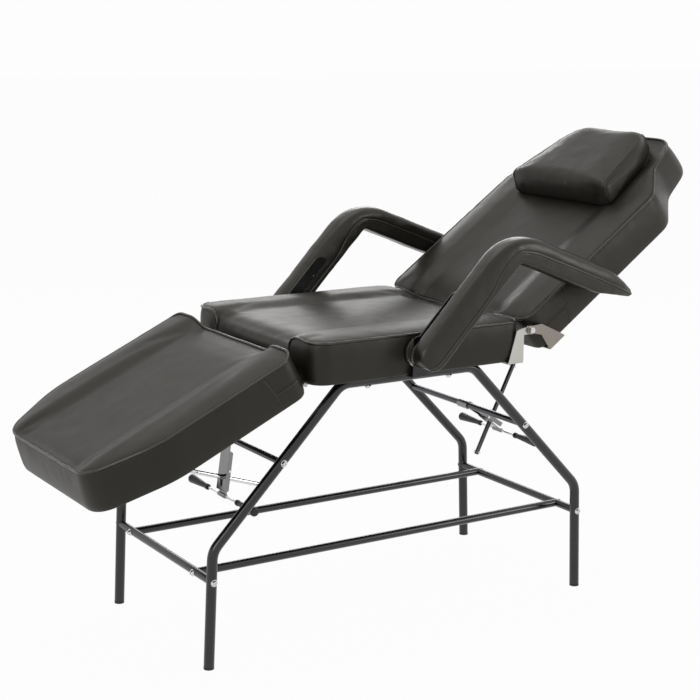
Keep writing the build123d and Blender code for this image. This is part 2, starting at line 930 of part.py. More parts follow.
def build_leaf(name, plane, board_side, knuckles, seats):
    """One leaf with its knuckles at each of the two hinges; x runs away from the pin."""
    neck = leaf_knuckle_dia / 2 + leaf_relief
    third = leaf_width / 3
    low = board_side - leaf_drop
    with BuildPart() as leaf:
        for y in (-leaf_spacing / 2, leaf_spacing / 2):
            for place in knuckles:
                with BuildSketch(profile(plane, y + (place + 1 / 2) * third - knuckle_play / 2)):
                    with Locations((neck / 2, low / 2)):
                        Rectangle(neck, low)
                    Circle(leaf_knuckle_dia / 2)
                    Circle(leaf_pin_dia / 2 + hinge_fit, mode=Mode.SUBTRACT)
                extrude(amount=third - knuckle_play)
            with BuildSketch(profile(plane, y + leaf_width / 2)):
                with BuildLine():
                    Polyline(
                        (neck, board_side - leaf_thick),
                        (leaf_reach, board_side - leaf_thick),
                        (leaf_reach, board_side),
                        (leaf_step + leaf_drop, board_side),
                        (leaf_step, low),
                        (neck, low),
                        close=True,
                    )
                make_face()
            extrude(amount=leaf_width)
        drill(seats, screw_dia, screw_length)
    finish(leaf.part, name)


def build_leg_hinges():
    """Two butt hinges under the boards: fixed leaves, moving leaves and pins."""
    build_leaf("seat_hinge_leaves", leg_hinge_plane, leg_pivot_below, (-1, 1), seat_leaf_seats)
    build_leaf("leg_hinge_leaves", leg_plane, leg_underside, (0,), leg_leaf_seats)
    with BuildPart() as pins:
        for y in (-leaf_spacing / 2, leaf_spacing / 2):
            with BuildSketch(side_plane(y)):
                with Locations((leg_pivot_x, leg_pivot_z)):
                    Circle(leaf_pin_dia / 2)
            extrude(amount=leaf_width / 2, both=True)
    finish(pins.part, "leg_hinge_pins")


# Locks

def build_channel(name, lock, hole, slot_more):
    """A channel hooked on its bar, with a slot for the rod and a hole pair for the release pin."""
    far = 2 * web_out
    end = radians(90 + hook_wrap)
    with BuildPart() as channel:
        with BuildSketch(profile(lock, channel_width / 2)):
            Circle(web_out)
            Circle(web_in, mode=Mode.SUBTRACT)
            with BuildLine():
                Polyline(
                    (0, 0), (far * cos(end), far * sin(end)), (far, -far), (far, far), (0, far),
                    close=True,
                )
            make_face(mode=Mode.SUBTRACT)
            with Locations((channel_length / 2, (web_in + web_out) / 2)):
                Rectangle(channel_length, channel_thick)
        extrude(amount=channel_width)
        for y in (-channel_width / 2 + channel_thick, channel_width / 2):
            with BuildSketch(profile(lock, y)):
                with BuildLine():
                    FilletPolyline(
                        (flange_start, web_out),
                        (flange_start + channel_flange / 2, web_out - channel_flange),
                        (channel_length, web_out - channel_flange),
                        (channel_length, web_out),
                        radius=[0, channel_thick, channel_thick, 0],
                        close=True,
                    )
                make_face()
                with Locations((release_pivot, web_in - release_pivot_in)):
                    Circle(release_pin_dia / 2, mode=Mode.SUBTRACT)
            extrude(amount=channel_thick)
        with BuildSketch(lock.offset(web_in)):
            with Locations((hole + slot_more / 2, 0)):
                SlotOverall(rod_slot_length + abs(slot_more), rod_slot_width)
        extrude(amount=channel_thick, mode=Mode.SUBTRACT)
    finish(channel.part, name)


def build_release_pin(name, lock):
    """The riveted pin that the release plate turns on."""
    with BuildPart() as pin:
        middle = profile(lock)
        for radius, reach in (
            (release_pin_dia / 2, channel_width / 2),
            (release_rivet_dia / 2, channel_width / 2 + release_rivet),
        ):
            with BuildSketch(middle):
                with Locations((release_pivot, web_in - release_pivot_in)):
                    Circle(radius)
            extrude(amount=reach, both=True)
            if radius > release_pin_dia / 2:
                with BuildSketch(middle):
                    with Locations((release_pivot, web_in - release_pivot_in)):
                        Circle(radius)
                        Circle(release_pin_dia / 2, mode=Mode.SUBTRACT)
                extrude(amount=channel_width / 2, both=True, mode=Mode.SUBTRACT)
    finish(pin.part, name)


def build_release(name, lock, rod, slot_more):
    """The canted plate that grips the rod, with cheeks on its pin and a rolled eye."""
    frame = release_frame(lock)
    middle = -release_face - release_thick / 2
    slot_x = crossing(frame, rod, middle)
    with BuildPart() as release:
        with BuildSketch(frame.offset(-release_face)):
            with Locations(((lever_place - release_cheek) / 2, 0)):
                Rectangle(lever_place + release_cheek, release_width)
            with Locations((slot_x + slot_more / 2, 0)):
                SlotOverall(
                    rod_slot_length + abs(slot_more), rod_slot_width, mode=Mode.SUBTRACT
                )
        extrude(amount=-release_thick)
        for y in (-release_width / 2 + release_thick, release_width / 2):
            with BuildSketch(profile(frame, y)):
                Circle(release_cheek)
                with Locations((release_cheek_length / 2 - release_cheek, -release_face / 2)):
                    Rectangle(release_cheek_length, release_face)
                Circle(release_pin_dia / 2 + hinge_fit, mode=Mode.SUBTRACT)
            extrude(amount=release_thick)
        with BuildSketch(profile(frame, release_width / 2)):
            with Locations((lever_place, middle)):
                Circle(lever_dia / 2 + release_thick)
        extrude(amount=release_width)
        with BuildSketch(profile(frame, release_width / 2)):
            with Locations((lever_place, middle)):
                Circle(lever_dia / 2)
        extrude(amount=release_width, mode=Mode.SUBTRACT)
    finish(release.part, name)


def build_lever(name, lock):
    """The cross bar through the eye of a release plate."""
    frame = shifted(release_frame(lock), x=lever_place, z=-release_face - release_thick / 2)
    with BuildPart() as lever:
        with BuildSketch(profile(frame)):
            Circle(lever_dia / 2)
        extrude(amount=lever_length / 2, both=True)
    finish(lever.part, name)


def build_grips(name, lock):
    """Two tapered handles that are widest at their outer ends, with a collar at the inner end."""
    frame = shifted(release_frame(lock), x=lever_place, z=-release_face - release_thick / 2)
    inner = grip_spread / 2 - grip_length
    outer = grip_spread / 2
    with BuildPart() as grips:
        for side in (-1, 1):
            with BuildSketch(Plane(origin=frame.origin, x_dir=frame.x_dir, z_dir=frame.z_dir)):
                with BuildLine():
                    FilletPolyline(
                        (0, side * inner),
                        (grip_collar_dia / 2, side * inner),
                        (grip_collar_dia / 2, side * (inner + grip_collar)),
                        (grip_neck_dia / 2, side * (inner + grip_collar)),
                        (grip_dia / 2, side * outer),
                        (0, side * outer),
                        radius=[0, 0, 0, 0, grip_end_radius, 0],
                        close=True,
                    )
                make_face()
            revolve(axis=Axis(frame.origin, frame.y_dir))
        with BuildSketch(profile(frame)):
            Circle(lever_dia / 2)
        extrude(amount=lever_length / 2, both=True, mode=Mode.SUBTRACT)
    finish(grips.part, name)


def build_rod(name, rod, pin_place, below, stop_places):
    """A round rod from its pin down through the lock, drilled for its pin and two stops."""
    with BuildPart() as bar:
        with BuildSketch(rod.offset(-below)):
            Circle(rod_dia / 2)
        extrude(amount=below + pin_place + rod_end)
        chamfer(bar.edges(), rod_chamfer)
        for place, dia in (
            (pin_place, bracket_pin_dia + 2 * hinge_fit),
            (stop_places[0], stop_dia),
            (stop_places[1], stop_dia),
        ):
            with BuildSketch(profile(rod)):
                with Locations((0, place)):
                    Circle(dia / 2)
            extrude(amount=rod_dia, both=True, mode=Mode.SUBTRACT)
    finish(bar.part, name)


def build_stops(name, rod, stop_places):
    """Cross pins near both ends of the rod's travel."""
    with BuildPart() as stops:
        for place in stop_places:
            with BuildSketch(profile(rod)):
                with Locations((0, place)):
                    Circle(stop_dia / 2)
            extrude(amount=stop_length / 2, both=True)
    finish(stops.part, name)


def build_bracket(name, board_plane, place, seats):
    """A clevis screwed under a board; its two ears hold the pin of a rod."""
    frame = shifted(board_plane, x=place)
    with BuildPart() as bracket:
        with BuildSketch(frame):
            RectangleRounded(bracket_length, bracket_width, bracket_thick)
        extrude(amount=-bracket_thick)
        for y in (-bracket_gap / 2, bracket_gap / 2 + bracket_thick):
            with BuildSketch(profile(frame, y)):
                with BuildLine():
                    Polyline(
                        (-bracket_ear_length / 2, 0),
                        (bracket_ear_length / 2, 0),
                        (rod_end, -bracket_drop),
                        (-rod_end, -bracket_drop),
                        close=True,
                    )
                make_face()
                with Locations((0, -bracket_drop)):
                    Circle(rod_end)
                    Circle(bracket_pin_dia / 2, mode=Mode.SUBTRACT)
            extrude(amount=bracket_thick)
        drill(seats, screw_dia, screw_length)
    finish(bracket.part, name)


def build_bracket_pin(name, board_plane, place):
    """The pin across a clevis."""
    with BuildPart() as pin:
        with BuildSketch(profile(board_plane)):
            with Locations((place, -bracket_drop)):
                Circle(bracket_pin_dia / 2)
        extrude(amount=bracket_gap / 2 + bracket_thick + pin_more, both=True)
        chamfer(pin.edges(), pin_more / 2)
    finish(pin.part, name)


def build_locks():
    """Both locks with their rods, brackets, releases and handles."""
    for end, lock, rod, hole, slot_more in (
        ("rear", rear_lock, rear_rod, rear_hole, rear_slot_more),
        ("front", front_lock, front_rod, front_hole, front_slot_more),
    ):
        build_channel(f"{end}_lock_channel", lock, hole, slot_more)
        build_release_pin(f"{end}_release_pin", lock)
        build_release(f"{end}_release_plate", lock, rod, slot_more)
        build_lever(f"{end}_release_lever", lock)
        build_grips(f"{end}_release_grips", lock)
    rear_stops = (rear_stop_above, rear_stop_inset - rear_rod_below)
    front_stops = (front_stop_above, front_stop_inset - front_rod_below)
    for owner, rod, board_plane, place, pin_place, below, stop_places, seats in (
        ("back", rear_rod, back_board_plane, back_pin_place, back_rod_reach,
         rear_rod_below, rear_stops, back_bracket_seats),
        ("leg", front_rod, leg_board_plane, leg_pin_place, leg_rod_reach,
         front_rod_below, front_stops, leg_bracket_seats),
    ):
        build_rod(f"{owner}_rod", rod, pin_place, below, stop_places)
        build_stops(f"{owner}_rod_stops", rod, stop_places)
        build_bracket(f"{owner}_rod_bracket", board_plane, place, seats)
        build_bracket_pin(f"{owner}_rod_pin", board_plane, place)


# Arm rests

def run_point(angle, along, rise):
    """A place in the side view of an arm: along a run from the elbow, rise above its middle."""
    turn = radians(angle)
    return (
        arm_elbow_x + along * cos(turn) - rise * sin(turn),
        arm_elbow_z + along * sin(turn) + rise * cos(turn),
    )


def arm_outline(crown, edge):
    """Side view of an arm pad, drawn in by crown along its top and by edge below."""
    top = arm_thick / 2 - crown
    bottom = edge - arm_thick / 2
    low_end = edge - arm_low_length
    high_end = arm_high_length - edge
    tip_top = arm_tip_thick / 2 - arm_tip_drop - arm_tip_share * crown
    tip_bottom = -arm_tip_thick / 2 - arm_tip_drop + arm_tip_share * edge
    bend = tan(radians((arm_low_angle + arm_high_angle) / 2))
    corners = [
        run_point(arm_low_angle, low_end, bottom),
        run_point(arm_low_angle, low_end, top),
        run_point(arm_low_angle, top * bend, top),
        run_point(-arm_high_angle, arm_high_length - arm_top_taper, top),
        run_point(-arm_high_angle, high_end, tip_top),
        run_point(-arm_high_angle, high_end, tip_bottom),
        run_point(-arm_high_angle, arm_high_length - arm_taper_length, bottom),
        run_point(arm_low_angle, bottom * bend, bottom),
    ]
    end_radius = (top - bottom) / 2 - arm_end_flat
    tip_radius = (tip_top - tip_bottom) * arm_tip_share
    radii = [
        end_radius,
        end_radius,
        arm_elbow_radius - crown,
        arm_taper_radius - crown,
        tip_radius,
        tip_radius,
        arm_taper_radius - edge,
        arm_inner_radius + edge,
    ]
    outline_face(corners, radii)


def build_arm(name, side, seats):
    """An arm pad: a short run up from the seat side, and a long run back to a thin tip."""
    inner = arm_spacing / 2 - arm_width / 2
    with BuildPart() as arm:
        for share, crown, edge in (
            (0, arm_round, arm_edge),
            (arm_round_share, arm_round * arm_round_share, 0),
            (1 / 2, 0, 0),
            (1 - arm_round_share, arm_round * arm_round_share, 0),
            (1, arm_round, arm_edge),
        ):
            with BuildSketch(side_plane(side * (inner + arm_width * share))):
                arm_outline(crown, edge)
        loft()
        drill(seats, screw_dia, arm_screw_length)
    finish(arm.part, name)


def build_arm_plate(name, side, seats):
    """The chrome plate that holds an arm: a round end, a strap down, and a foot under the seat."""
    face = arm_spacing / 2 - arm_width / 2
    inner = face - arm_plate_thick
    foot_bottom = underside - arm_plate_thick
    run = Plane(
        origin=(arm_end_x, side * inner, arm_end_z),
        x_dir=(cos(radians(arm_low_angle)), 0, sin(radians(arm_low_angle))),
        z_dir=(0, -1, 0),
    )
    with BuildPart() as plate:
        with BuildSketch(run):
            Circle(arm_thick / 2 + arm_plate_more)
            with Locations((arm_plate_length / 2, 0)):
                SlotOverall(arm_plate_length + arm_plate_width, arm_plate_width)
        extrude(amount=-side * arm_plate_thick)
        with BuildSketch(side_plane(side * inner)):
            with Locations((arm_end_x, (arm_end_z + foot_bottom) / 2)):
                Rectangle(arm_strap_width, arm_end_z - foot_bottom)
        extrude(amount=-side * arm_plate_thick)
        with BuildSketch(Plane.XY.offset(underside)):
            with Locations((arm_end_x, side * (face - arm_foot_reach / 2))):
                Rectangle(arm_strap_width, arm_foot_reach)
        extrude(amount=-arm_plate_thick)
        fillet(
            plate.edges().filter_by(Axis.X).filter_by_position(
                Axis.Z, foot_bottom, foot_bottom
            ).filter_by_position(Axis.Y, side * face, side * face),
            hinge_bend,
        )
        drill(seats, screw_dia, screw_length)
    finish(plate.part, name)


def build_arms():
    """Both arm pads with their plates."""
    for name, side in (("left", -1), ("right", 1)):
        pad_seats = [seat for seat in arm_seats if seat.origin.Y * side > 0]
        foot_seats = [seat for seat in arm_foot_seats if seat.origin.Y * side > 0]
        build_arm(f"{name}_armrest_pad", side, pad_seats)
        build_arm_plate(f"{name}_armrest_plate", side, pad_seats + foot_seats)


build_stand()
build_cushions()
build_pillow()
for label, hand in (("left", -1), ("right", 1)):
    build_seat_hinge_plate(f"{label}_seat_hinge_plate", hand)
    build_back_hinge_plate(f"{label}_back_hinge_plate", hand)
build_hinge_studs()
build_leg_hinges()
build_locks()
build_arms()
screw_group("seat_screws", seat_hinge_seats + seat_leaf_seats + arm_foot_seats, screw_length)
screw_group("armrest_screws", arm_seats, arm_screw_length)
screw_group("back_screws", back_hinge_seats + back_bracket_seats, screw_length)
screw_group("leg_screws", leg_leaf_seats + leg_bracket_seats, screw_length)
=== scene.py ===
import math
import bpy
import numpy as np
from mathutils import Matrix, Vector, noise


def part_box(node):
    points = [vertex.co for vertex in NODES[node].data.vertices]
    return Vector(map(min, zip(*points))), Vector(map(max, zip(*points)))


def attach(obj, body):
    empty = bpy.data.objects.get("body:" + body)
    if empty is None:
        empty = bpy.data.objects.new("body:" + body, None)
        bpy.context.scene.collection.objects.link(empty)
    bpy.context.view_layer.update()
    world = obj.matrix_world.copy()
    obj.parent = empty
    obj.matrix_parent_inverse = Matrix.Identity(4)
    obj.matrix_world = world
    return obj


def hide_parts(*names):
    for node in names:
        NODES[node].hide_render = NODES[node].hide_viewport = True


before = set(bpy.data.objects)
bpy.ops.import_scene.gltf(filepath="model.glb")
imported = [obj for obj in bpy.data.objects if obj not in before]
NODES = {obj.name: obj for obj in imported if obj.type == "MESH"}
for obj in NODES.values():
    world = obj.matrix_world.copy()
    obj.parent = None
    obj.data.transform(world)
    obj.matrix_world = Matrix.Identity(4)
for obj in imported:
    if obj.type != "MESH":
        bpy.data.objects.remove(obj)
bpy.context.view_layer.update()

# Lengths are in metres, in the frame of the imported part. Its x starts at the middle of the whole
# chair, and SHIFT brings there what is measured from the middle of the stand.
MM = 0.001
SHIFT = -0.0605754


# The three sections, each as an origin in its underside and its directions along, across and up
def make_frame(origin, along, up):
    along, up = np.array(along, float), np.array(up, float)
    return np.array(origin, float), along, np.cross(up, along), up


def turned(base, vecs):
    """Directions in a section, as directions of the chair."""
    vecs = np.asarray(vecs, float)
    return vecs[:, :1] * base[1] + vecs[:, 1:2] * base[2] + vecs[:, 2:3] * base[3]


def to_world(base, pts):
    """Places in a section, as places of the chair."""
    pts = np.asarray(pts, float)
    return base[0] + pts[:, :1] * base[1] + pts[:, 1:2] * base[2] + pts[:, 2:3] * base[3]


BACK_ANGLE, LEG_ANGLE = math.radians(35.5), math.radians(25)
SEAT_FRONT, UNDERSIDE = -0.297 + SHIFT, 0.650
BACK_PIVOT = np.array([0.322 + SHIFT, 0, 0.728])
LEG_PIVOT = np.array([-0.280 + SHIFT, 0, 0.642])
BACK_PIVOT_UP, LEG_PIVOT_DOWN = 0.078, 0.008
back_up = np.array([-math.sin(BACK_ANGLE), 0, math.cos(BACK_ANGLE)])
leg_up = np.array([-math.sin(LEG_ANGLE), 0, math.cos(LEG_ANGLE)])
SEAT = make_frame((SEAT_FRONT, 0, UNDERSIDE), (1, 0, 0), (0, 0, 1))
BACK = make_frame(BACK_PIVOT - back_up * BACK_PIVOT_UP,
                  (math.cos(BACK_ANGLE), 0, math.sin(BACK_ANGLE)), back_up)
LEG = make_frame(LEG_PIVOT + leg_up * LEG_PIVOT_DOWN,
                 (-math.cos(LEG_ANGLE), 0, -math.sin(LEG_ANGLE)), leg_up)


# Materials
def rgb(r, g, b):
    """A colour given as it shows on a screen, 0 to 255, as linear light."""
    out = []
    for v in (r, g, b):
        v = v / 255
        out.append(v / 12.92 if v <= 0.04045 else ((v + 0.055) / 1.055) ** 2.4)
    return (*out, 1.0)


def darker(colour, share):
    return tuple(c * share for c in colour[:3]) + (1,)


def new_material(name, stretch=(1, 1, 1)):
    """A material with one shader, and the coordinates that its patterns follow."""
    mat = bpy.data.materials.new(name)
    mat.use_nodes = True
    tree = mat.node_tree
    tree.nodes.clear()
    out = tree.nodes.new("ShaderNodeOutputMaterial")
    shader = tree.nodes.new("ShaderNodeBsdfPrincipled")
    tree.links.new(shader.outputs[0], out.inputs[0])
    place = tree.nodes.new("ShaderNodeTexCoord")
    mapping = tree.nodes.new("ShaderNodeMapping")
    mapping.inputs["Scale"].default_value = stretch
    tree.links.new(place.outputs["Object"], mapping.inputs[0])
    return mat, tree, shader, mapping.outputs[0]


def noise_of(tree, where, scale, detail, rough=0.5):
    node = tree.nodes.new("ShaderNodeTexNoise")
    node.inputs["Scale"].default_value = scale
    node.inputs["Detail"].default_value = detail
    node.inputs["Roughness"].default_value = rough
    tree.links.new(where, node.inputs["Vector"])
    return node.outputs["Fac"]


def ramp(tree, fac, stops):
    """Colours at places from 0 to 1, with smooth passages between them."""
    node = tree.nodes.new("ShaderNodeValToRGB")
    elements = node.color_ramp.elements
    while len(elements) > 1:
        elements.remove(elements[-1])
    for i, (place, colour) in enumerate(stops):
        stop = elements[0] if i == 0 else elements.new(place)
        stop.position = place
        stop.color = colour
    tree.links.new(fac, node.inputs[0])
    return node.outputs[0]


def span(tree, fac, low, high, start=0.15, end=0.85):
    """A value that goes from low to high as fac goes from start to end, where most noise lies."""
    node = tree.nodes.new("ShaderNodeMapRange")
    node.inputs["From Min"].default_value = start
    node.inputs["From Max"].default_value = end
    node.inputs["To Min"].default_value = low
    node.inputs["To Max"].default_value = high
    tree.links.new(fac, node.inputs[0])
    return node.outputs[0]


def bump(tree, height, strength, distance, normal=None):
    node = tree.nodes.new("ShaderNodeBump")
    node.inputs["Strength"].default_value = strength
    node.inputs["Distance"].default_value = distance
    tree.links.new(height, node.inputs["Height"])
    if normal is not None:
        tree.links.new(normal, node.inputs["Normal"])
    return node.outputs[0]


def leather(name, tone, rough, gloss):
    """Black leather: faint patches of two tones, soft unevenness and a fine grain of cells."""
    mat, tree, shader, where = new_material(name)
    link = tree.links.new
    dark = rgb(31 * tone, 29 * tone, 25 * tone)
    mid = rgb(40 * tone, 37 * tone, 32 * tone)
    patches = noise_of(tree, where, 7, 4)
    link(ramp(tree, patches, [(0.3, dark), (0.7, mid)]), shader.inputs["Base Color"])
    link(span(tree, noise_of(tree, where, 22, 3), *rough), shader.inputs["Roughness"])
    cells = tree.nodes.new("ShaderNodeTexVoronoi")
    cells.feature = "DISTANCE_TO_EDGE"
    cells.inputs["Scale"].default_value = 620
    link(where, cells.inputs["Vector"])
    soft = bump(tree, noise_of(tree, where, 60, 3), 0.10, 0.0012)
    fine = bump(tree, cells.outputs["Distance"], 0.22, 0.0004, soft)
    link(fine, shader.inputs["Normal"])
    shader.inputs["Specular IOR Level"].default_value = gloss
    shader.inputs["Specular Tint"].default_value = (1.0, 0.97, 0.88, 1)
    return mat


def paint(name, colour, rough, coat=0.0, grain=900):
    """Paint, moulded plastic or thread, a little darker in patches."""
    mat, tree, shader, where = new_material(name)
    link = tree.links.new
    stops = [(0.35, darker(colour, 0.75)), (0.65, colour)]
    link(ramp(tree, noise_of(tree, where, 14, 4), stops), shader.inputs["Base Color"])
    smears = noise_of(tree, where, 40, 3)
    link(span(tree, smears, rough * 0.85, rough * 1.2), shader.inputs["Roughness"])
    link(bump(tree, noise_of(tree, where, grain, 2), 0.08, 0.0004), shader.inputs["Normal"])
    shader.inputs["Coat Weight"].default_value = coat
    shader.inputs["Coat Roughness"].default_value = 0.08
    return mat


def metal(name, colour, rough):
    """Plated or bare steel, a little duller in patches."""
    mat, tree, shader, where = new_material(name)
    link = tree.links.new
    stops = [(0.35, darker(colour, 0.92)), (0.6, colour)]
    link(ramp(tree, noise_of(tree, where, 9, 3), stops), shader.inputs["Base Color"])
    smears = noise_of(tree, where, 25, 3)
    link(span(tree, smears, rough * 0.8, rough * 1.25), shader.inputs["Roughness"])
    link(bump(tree, noise_of(tree, where, 300, 2), 0.02, 0.0002), shader.inputs["Normal"])
    shader.inputs["Metallic"].default_value = 1.0
    return mat


def strap(name):
    """Black, with a painted highlight: bright metal on the rim under the arm rest's end."""
    mat, tree, shader, where = new_material(name)
    link = tree.links.new
    split = tree.nodes.new("ShaderNodeSeparateXYZ")
    link(where, split.inputs[0])
    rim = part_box("left_armrest_plate")[0][0]
    along = span(tree, split.outputs["X"], 0, 1, rim, rim + 0.1)
    black, bright = rgb(16, 16, 16), rgb(225, 224, 222)
    # Painted highlight: the rim near the plate's end is bright metal, in place of light catching
    # its edge.
    highlight_rim_stops = [(0.0, 1), (0.15, 1), (0.19, 0), (1.0, 0)]
    colours = [(place, bright if bare else black) for place, bare in highlight_rim_stops]
    metallic = [(place, (bare, bare, bare, 1)) for place, bare in highlight_rim_stops]
    link(ramp(tree, along, colours), shader.inputs["Base Color"])
    link(ramp(tree, along, metallic), shader.inputs["Metallic"])
    link(span(tree, noise_of(tree, where, 60, 3), 0.2, 0.32), shader.inputs["Roughness"])
    link(bump(tree, noise_of(tree, where, 500, 2), 0.02, 0.0002), shader.inputs["Normal"])
    return mat


def wood(name):
    """Plywood stained black, with its grain across the chair's length."""
    mat, tree, shader, where = new_material(name, (1, 9, 1))
    link = tree.links.new
    grain = noise_of(tree, where, 22, 6, 0.6)
    stops = [(0.3, rgb(24, 22, 20)), (0.5, rgb(34, 31, 28)), (0.7, rgb(42, 38, 34))]
    link(ramp(tree, grain, stops), shader.inputs["Base Color"])
    link(span(tree, grain, 0.55, 0.75), shader.inputs["Roughness"])
    link(bump(tree, grain, 0.25, 0.0006), shader.inputs["Normal"])
    return mat


LEATHER = leather("black_leather_cover", 1.0, (0.38, 0.47), 0.34)
# The piping is the cover's black leather, a little lighter in tone as a painted highlight.
PIPING = leather("black_leather_piping", 1.1, (0.15, 0.22), 0.6)
ARM_LEATHER = leather("black_leather_arm_cover", 0.95, (0.29, 0.36), 0.44)
THREAD = paint("grey_black_thread", rgb(96, 94, 90), 0.5)
# Near-black tubes of painted shade, laid in the grooves beside the piping and along the seams.
GROOVE_SHADE = paint("seam_shadow", rgb(10, 10, 9), 0.8)
BLACK_PAINT = paint("black_gloss_tube_paint", rgb(17, 14, 14), 0.24, 0.2)
CHROME = metal("bright_chrome", rgb(214, 214, 216), 0.10)
SATIN = metal("satin_chrome_plate", rgb(188, 186, 181), 0.3)
# The back hinge plates: the same satin chrome, a little rougher, and darker as painted shade.
SATIN_SHADED = metal("satin_chrome_plate_dull_painted_shade", rgb(143, 136, 129), 0.34)
CHANNEL = metal("plated_channel", rgb(132, 131, 131), 0.12)
STRAP = strap("arm_strap_plate")
ZINC = metal("zinc_plate", rgb(176, 178, 180), 0.3)
# A dark grey metal, darker than the chrome, for the back rod and the two lock bars.
DARK_ROD = metal("dark_grey_steel_rod", rgb(84, 84, 87), 0.2)
PLASTIC = paint("black_handle_plastic", rgb(17, 17, 18), 0.4, 0.0, 500)
CAP = paint("black_foot_plastic", rgb(20, 20, 21), 0.5, 0.0, 400)
WOOD = wood("black_stained_plywood")

LOOKS = {
    BLACK_PAINT: ["armrest_screws", "left_side_frame", "right_side_frame", "front_crossbar",
                  "rear_crossbar", "left_rail", "right_rail"],
    CHROME: ["crossbar_bolts", "lock_bar_bolts", "rail_bolts", "seat_bolts", "hinge_studs",
             "hinge_nuts", "rear_release_pin", "front_release_pin", "rear_release_lever",
             "front_release_lever", "leg_rod", "back_rod_stops", "leg_rod_stops", "back_rod_pin",
             "leg_rod_pin"],
    SATIN: ["left_seat_hinge_plate", "right_seat_hinge_plate", "back_rod_bracket",
            "leg_rod_bracket"],
    SATIN_SHADED: ["left_back_hinge_plate", "right_back_hinge_plate"],
    CHANNEL: ["rear_lock_channel", "front_lock_channel", "rear_release_plate",
              "front_release_plate"],
    STRAP: ["left_armrest_plate", "right_armrest_plate"],
    ZINC: ["crossbar_plugs", "lock_bar_plugs", "seat_hinge_leaves", "leg_hinge_leaves",
           "leg_hinge_pins", "seat_screws", "back_screws", "leg_screws"],
    DARK_ROD: ["back_rod", "front_lock_bar", "rear_lock_bar"],
    PLASTIC: ["rear_release_grips", "front_release_grips"],
    CAP: ["foot_plugs"],
    WOOD: ["seat_board", "back_board", "leg_board"],
}
for look, names in LOOKS.items():
    for name in names:
        mesh = NODES[name].data
        mesh.materials.clear()
        mesh.materials.append(look)


# Lines and outlines
def eased(x):
    """From 0 to 1 as x goes from 0 to 1, slow at both ends."""
    x = np.clip(x, 0, 1)
    return x * x * (3 - 2 * x)


def fbm(p, scale, seed):
    """Rough noise in the space around a point."""
    return noise.fractal(Vector((p[0] * scale + seed, p[1] * scale, p[2] * scale)), 0.7, 2.0, 4)


def steps_along(path):
    """How far along a polyline each of its points is."""
    return np.r_[0, np.cumsum(np.linalg.norm(np.diff(path, axis=0), axis=1))]


def resample(path, n, closed=False):
    """n points at even steps along a polyline, both ends included when it is open."""
    path = np.asarray(path, float)
    if closed:
        path = np.vstack([path, path[:1]])
    steps = steps_along(path)
    at = np.linspace(0, steps[-1], n + 1)[:-1] if closed else np.linspace(0, steps[-1], n)
    return np.stack([np.interp(at, steps, path[:, k]) for k in range(path.shape[1])], 1)


def rounded(corners, radii, count=18):
    """A closed outline with round corners, and where the middle of each corner lies in it."""
    corners = np.asarray(corners, float)
    pts, mids = [], []
    for k, (corner, radius) in enumerate(zip(corners, radii)):
        back = corners[k - 1] - corner
        on = corners[(k + 1) % len(corners)] - corner
        back, on = back / np.linalg.norm(back), on / np.linalg.norm(on)
        half = math.acos(np.clip(back @ on, -1, 1)) / 2
        middle = (back + on) / np.linalg.norm(back + on)
        centre = corner + middle * radius / math.sin(half)
        first = corner + back * radius / math.tan(half)
        last = corner + on * radius / math.tan(half)
        a0 = math.atan2(*(first - centre)[::-1])
        turn = math.atan2(*(last - centre)[::-1]) - a0
        turn = (turn + math.pi) % (2 * math.pi) - math.pi
        mids.append(len(pts) + count // 2)
        for share in np.linspace(0, 1, count + 1):
            a = a0 + turn * share
            pts.append(centre + radius * np.array([math.cos(a), math.sin(a)]))
    return np.array(pts), mids


def between(pts, first, last):
    """The stretch of a closed outline from one index to another."""
    if last >= first:
        return pts[first:last + 1]
    return np.vstack([pts[first:], pts[:last + 1]])


def square_to(loop):
    """The direction square to a flat closed line at each point, on the right of its run."""
    tangent = np.roll(loop, -1, 0) - np.roll(loop, 1, 0)
    out = np.stack([tangent[:, 1], -tangent[:, 0]], 1)
    return out / np.linalg.norm(out, axis=1)[:, None]


def tangents(path, closed):
    tan = np.roll(path, -1, 0) - np.roll(path, 1, 0) if closed else np.gradient(path, axis=0)
    return tan / np.linalg.norm(tan, axis=1)[:, None]


# Meshes
def quads(grid, turn=False):
    """Faces between the vertex numbers of a grid, turned over for the other side."""
    a, b, c, d = grid[:-1, :-1], grid[1:, :-1], grid[1:, 1:], grid[:-1, 1:]
    order = (a, d, c, b) if turn else (a, b, c, d)
    return [tuple(face) for face in np.stack(order, -1).reshape(-1, 4).tolist()]


def round_grid(rows):
    """Rings of vertex numbers as a grid whose last column is its first."""
    rows = np.asarray(rows)
    return np.column_stack([rows, rows[:, 0]])


def zipped(loop):
    """Faces that close a ring of an even number of vertices with quads laid across it."""
    n = len(loop)
    pairs = [(loop[k], loop[n - 1 - k]) for k in range(n // 2)]
    return [(a, c, d, b) for (a, b), (c, d) in zip(pairs[:-1], pairs[1:])]


def facing(faces, out):
    """Faces as they are where they look out, and else turned over."""
    return faces if out else [face[::-1] for face in faces]


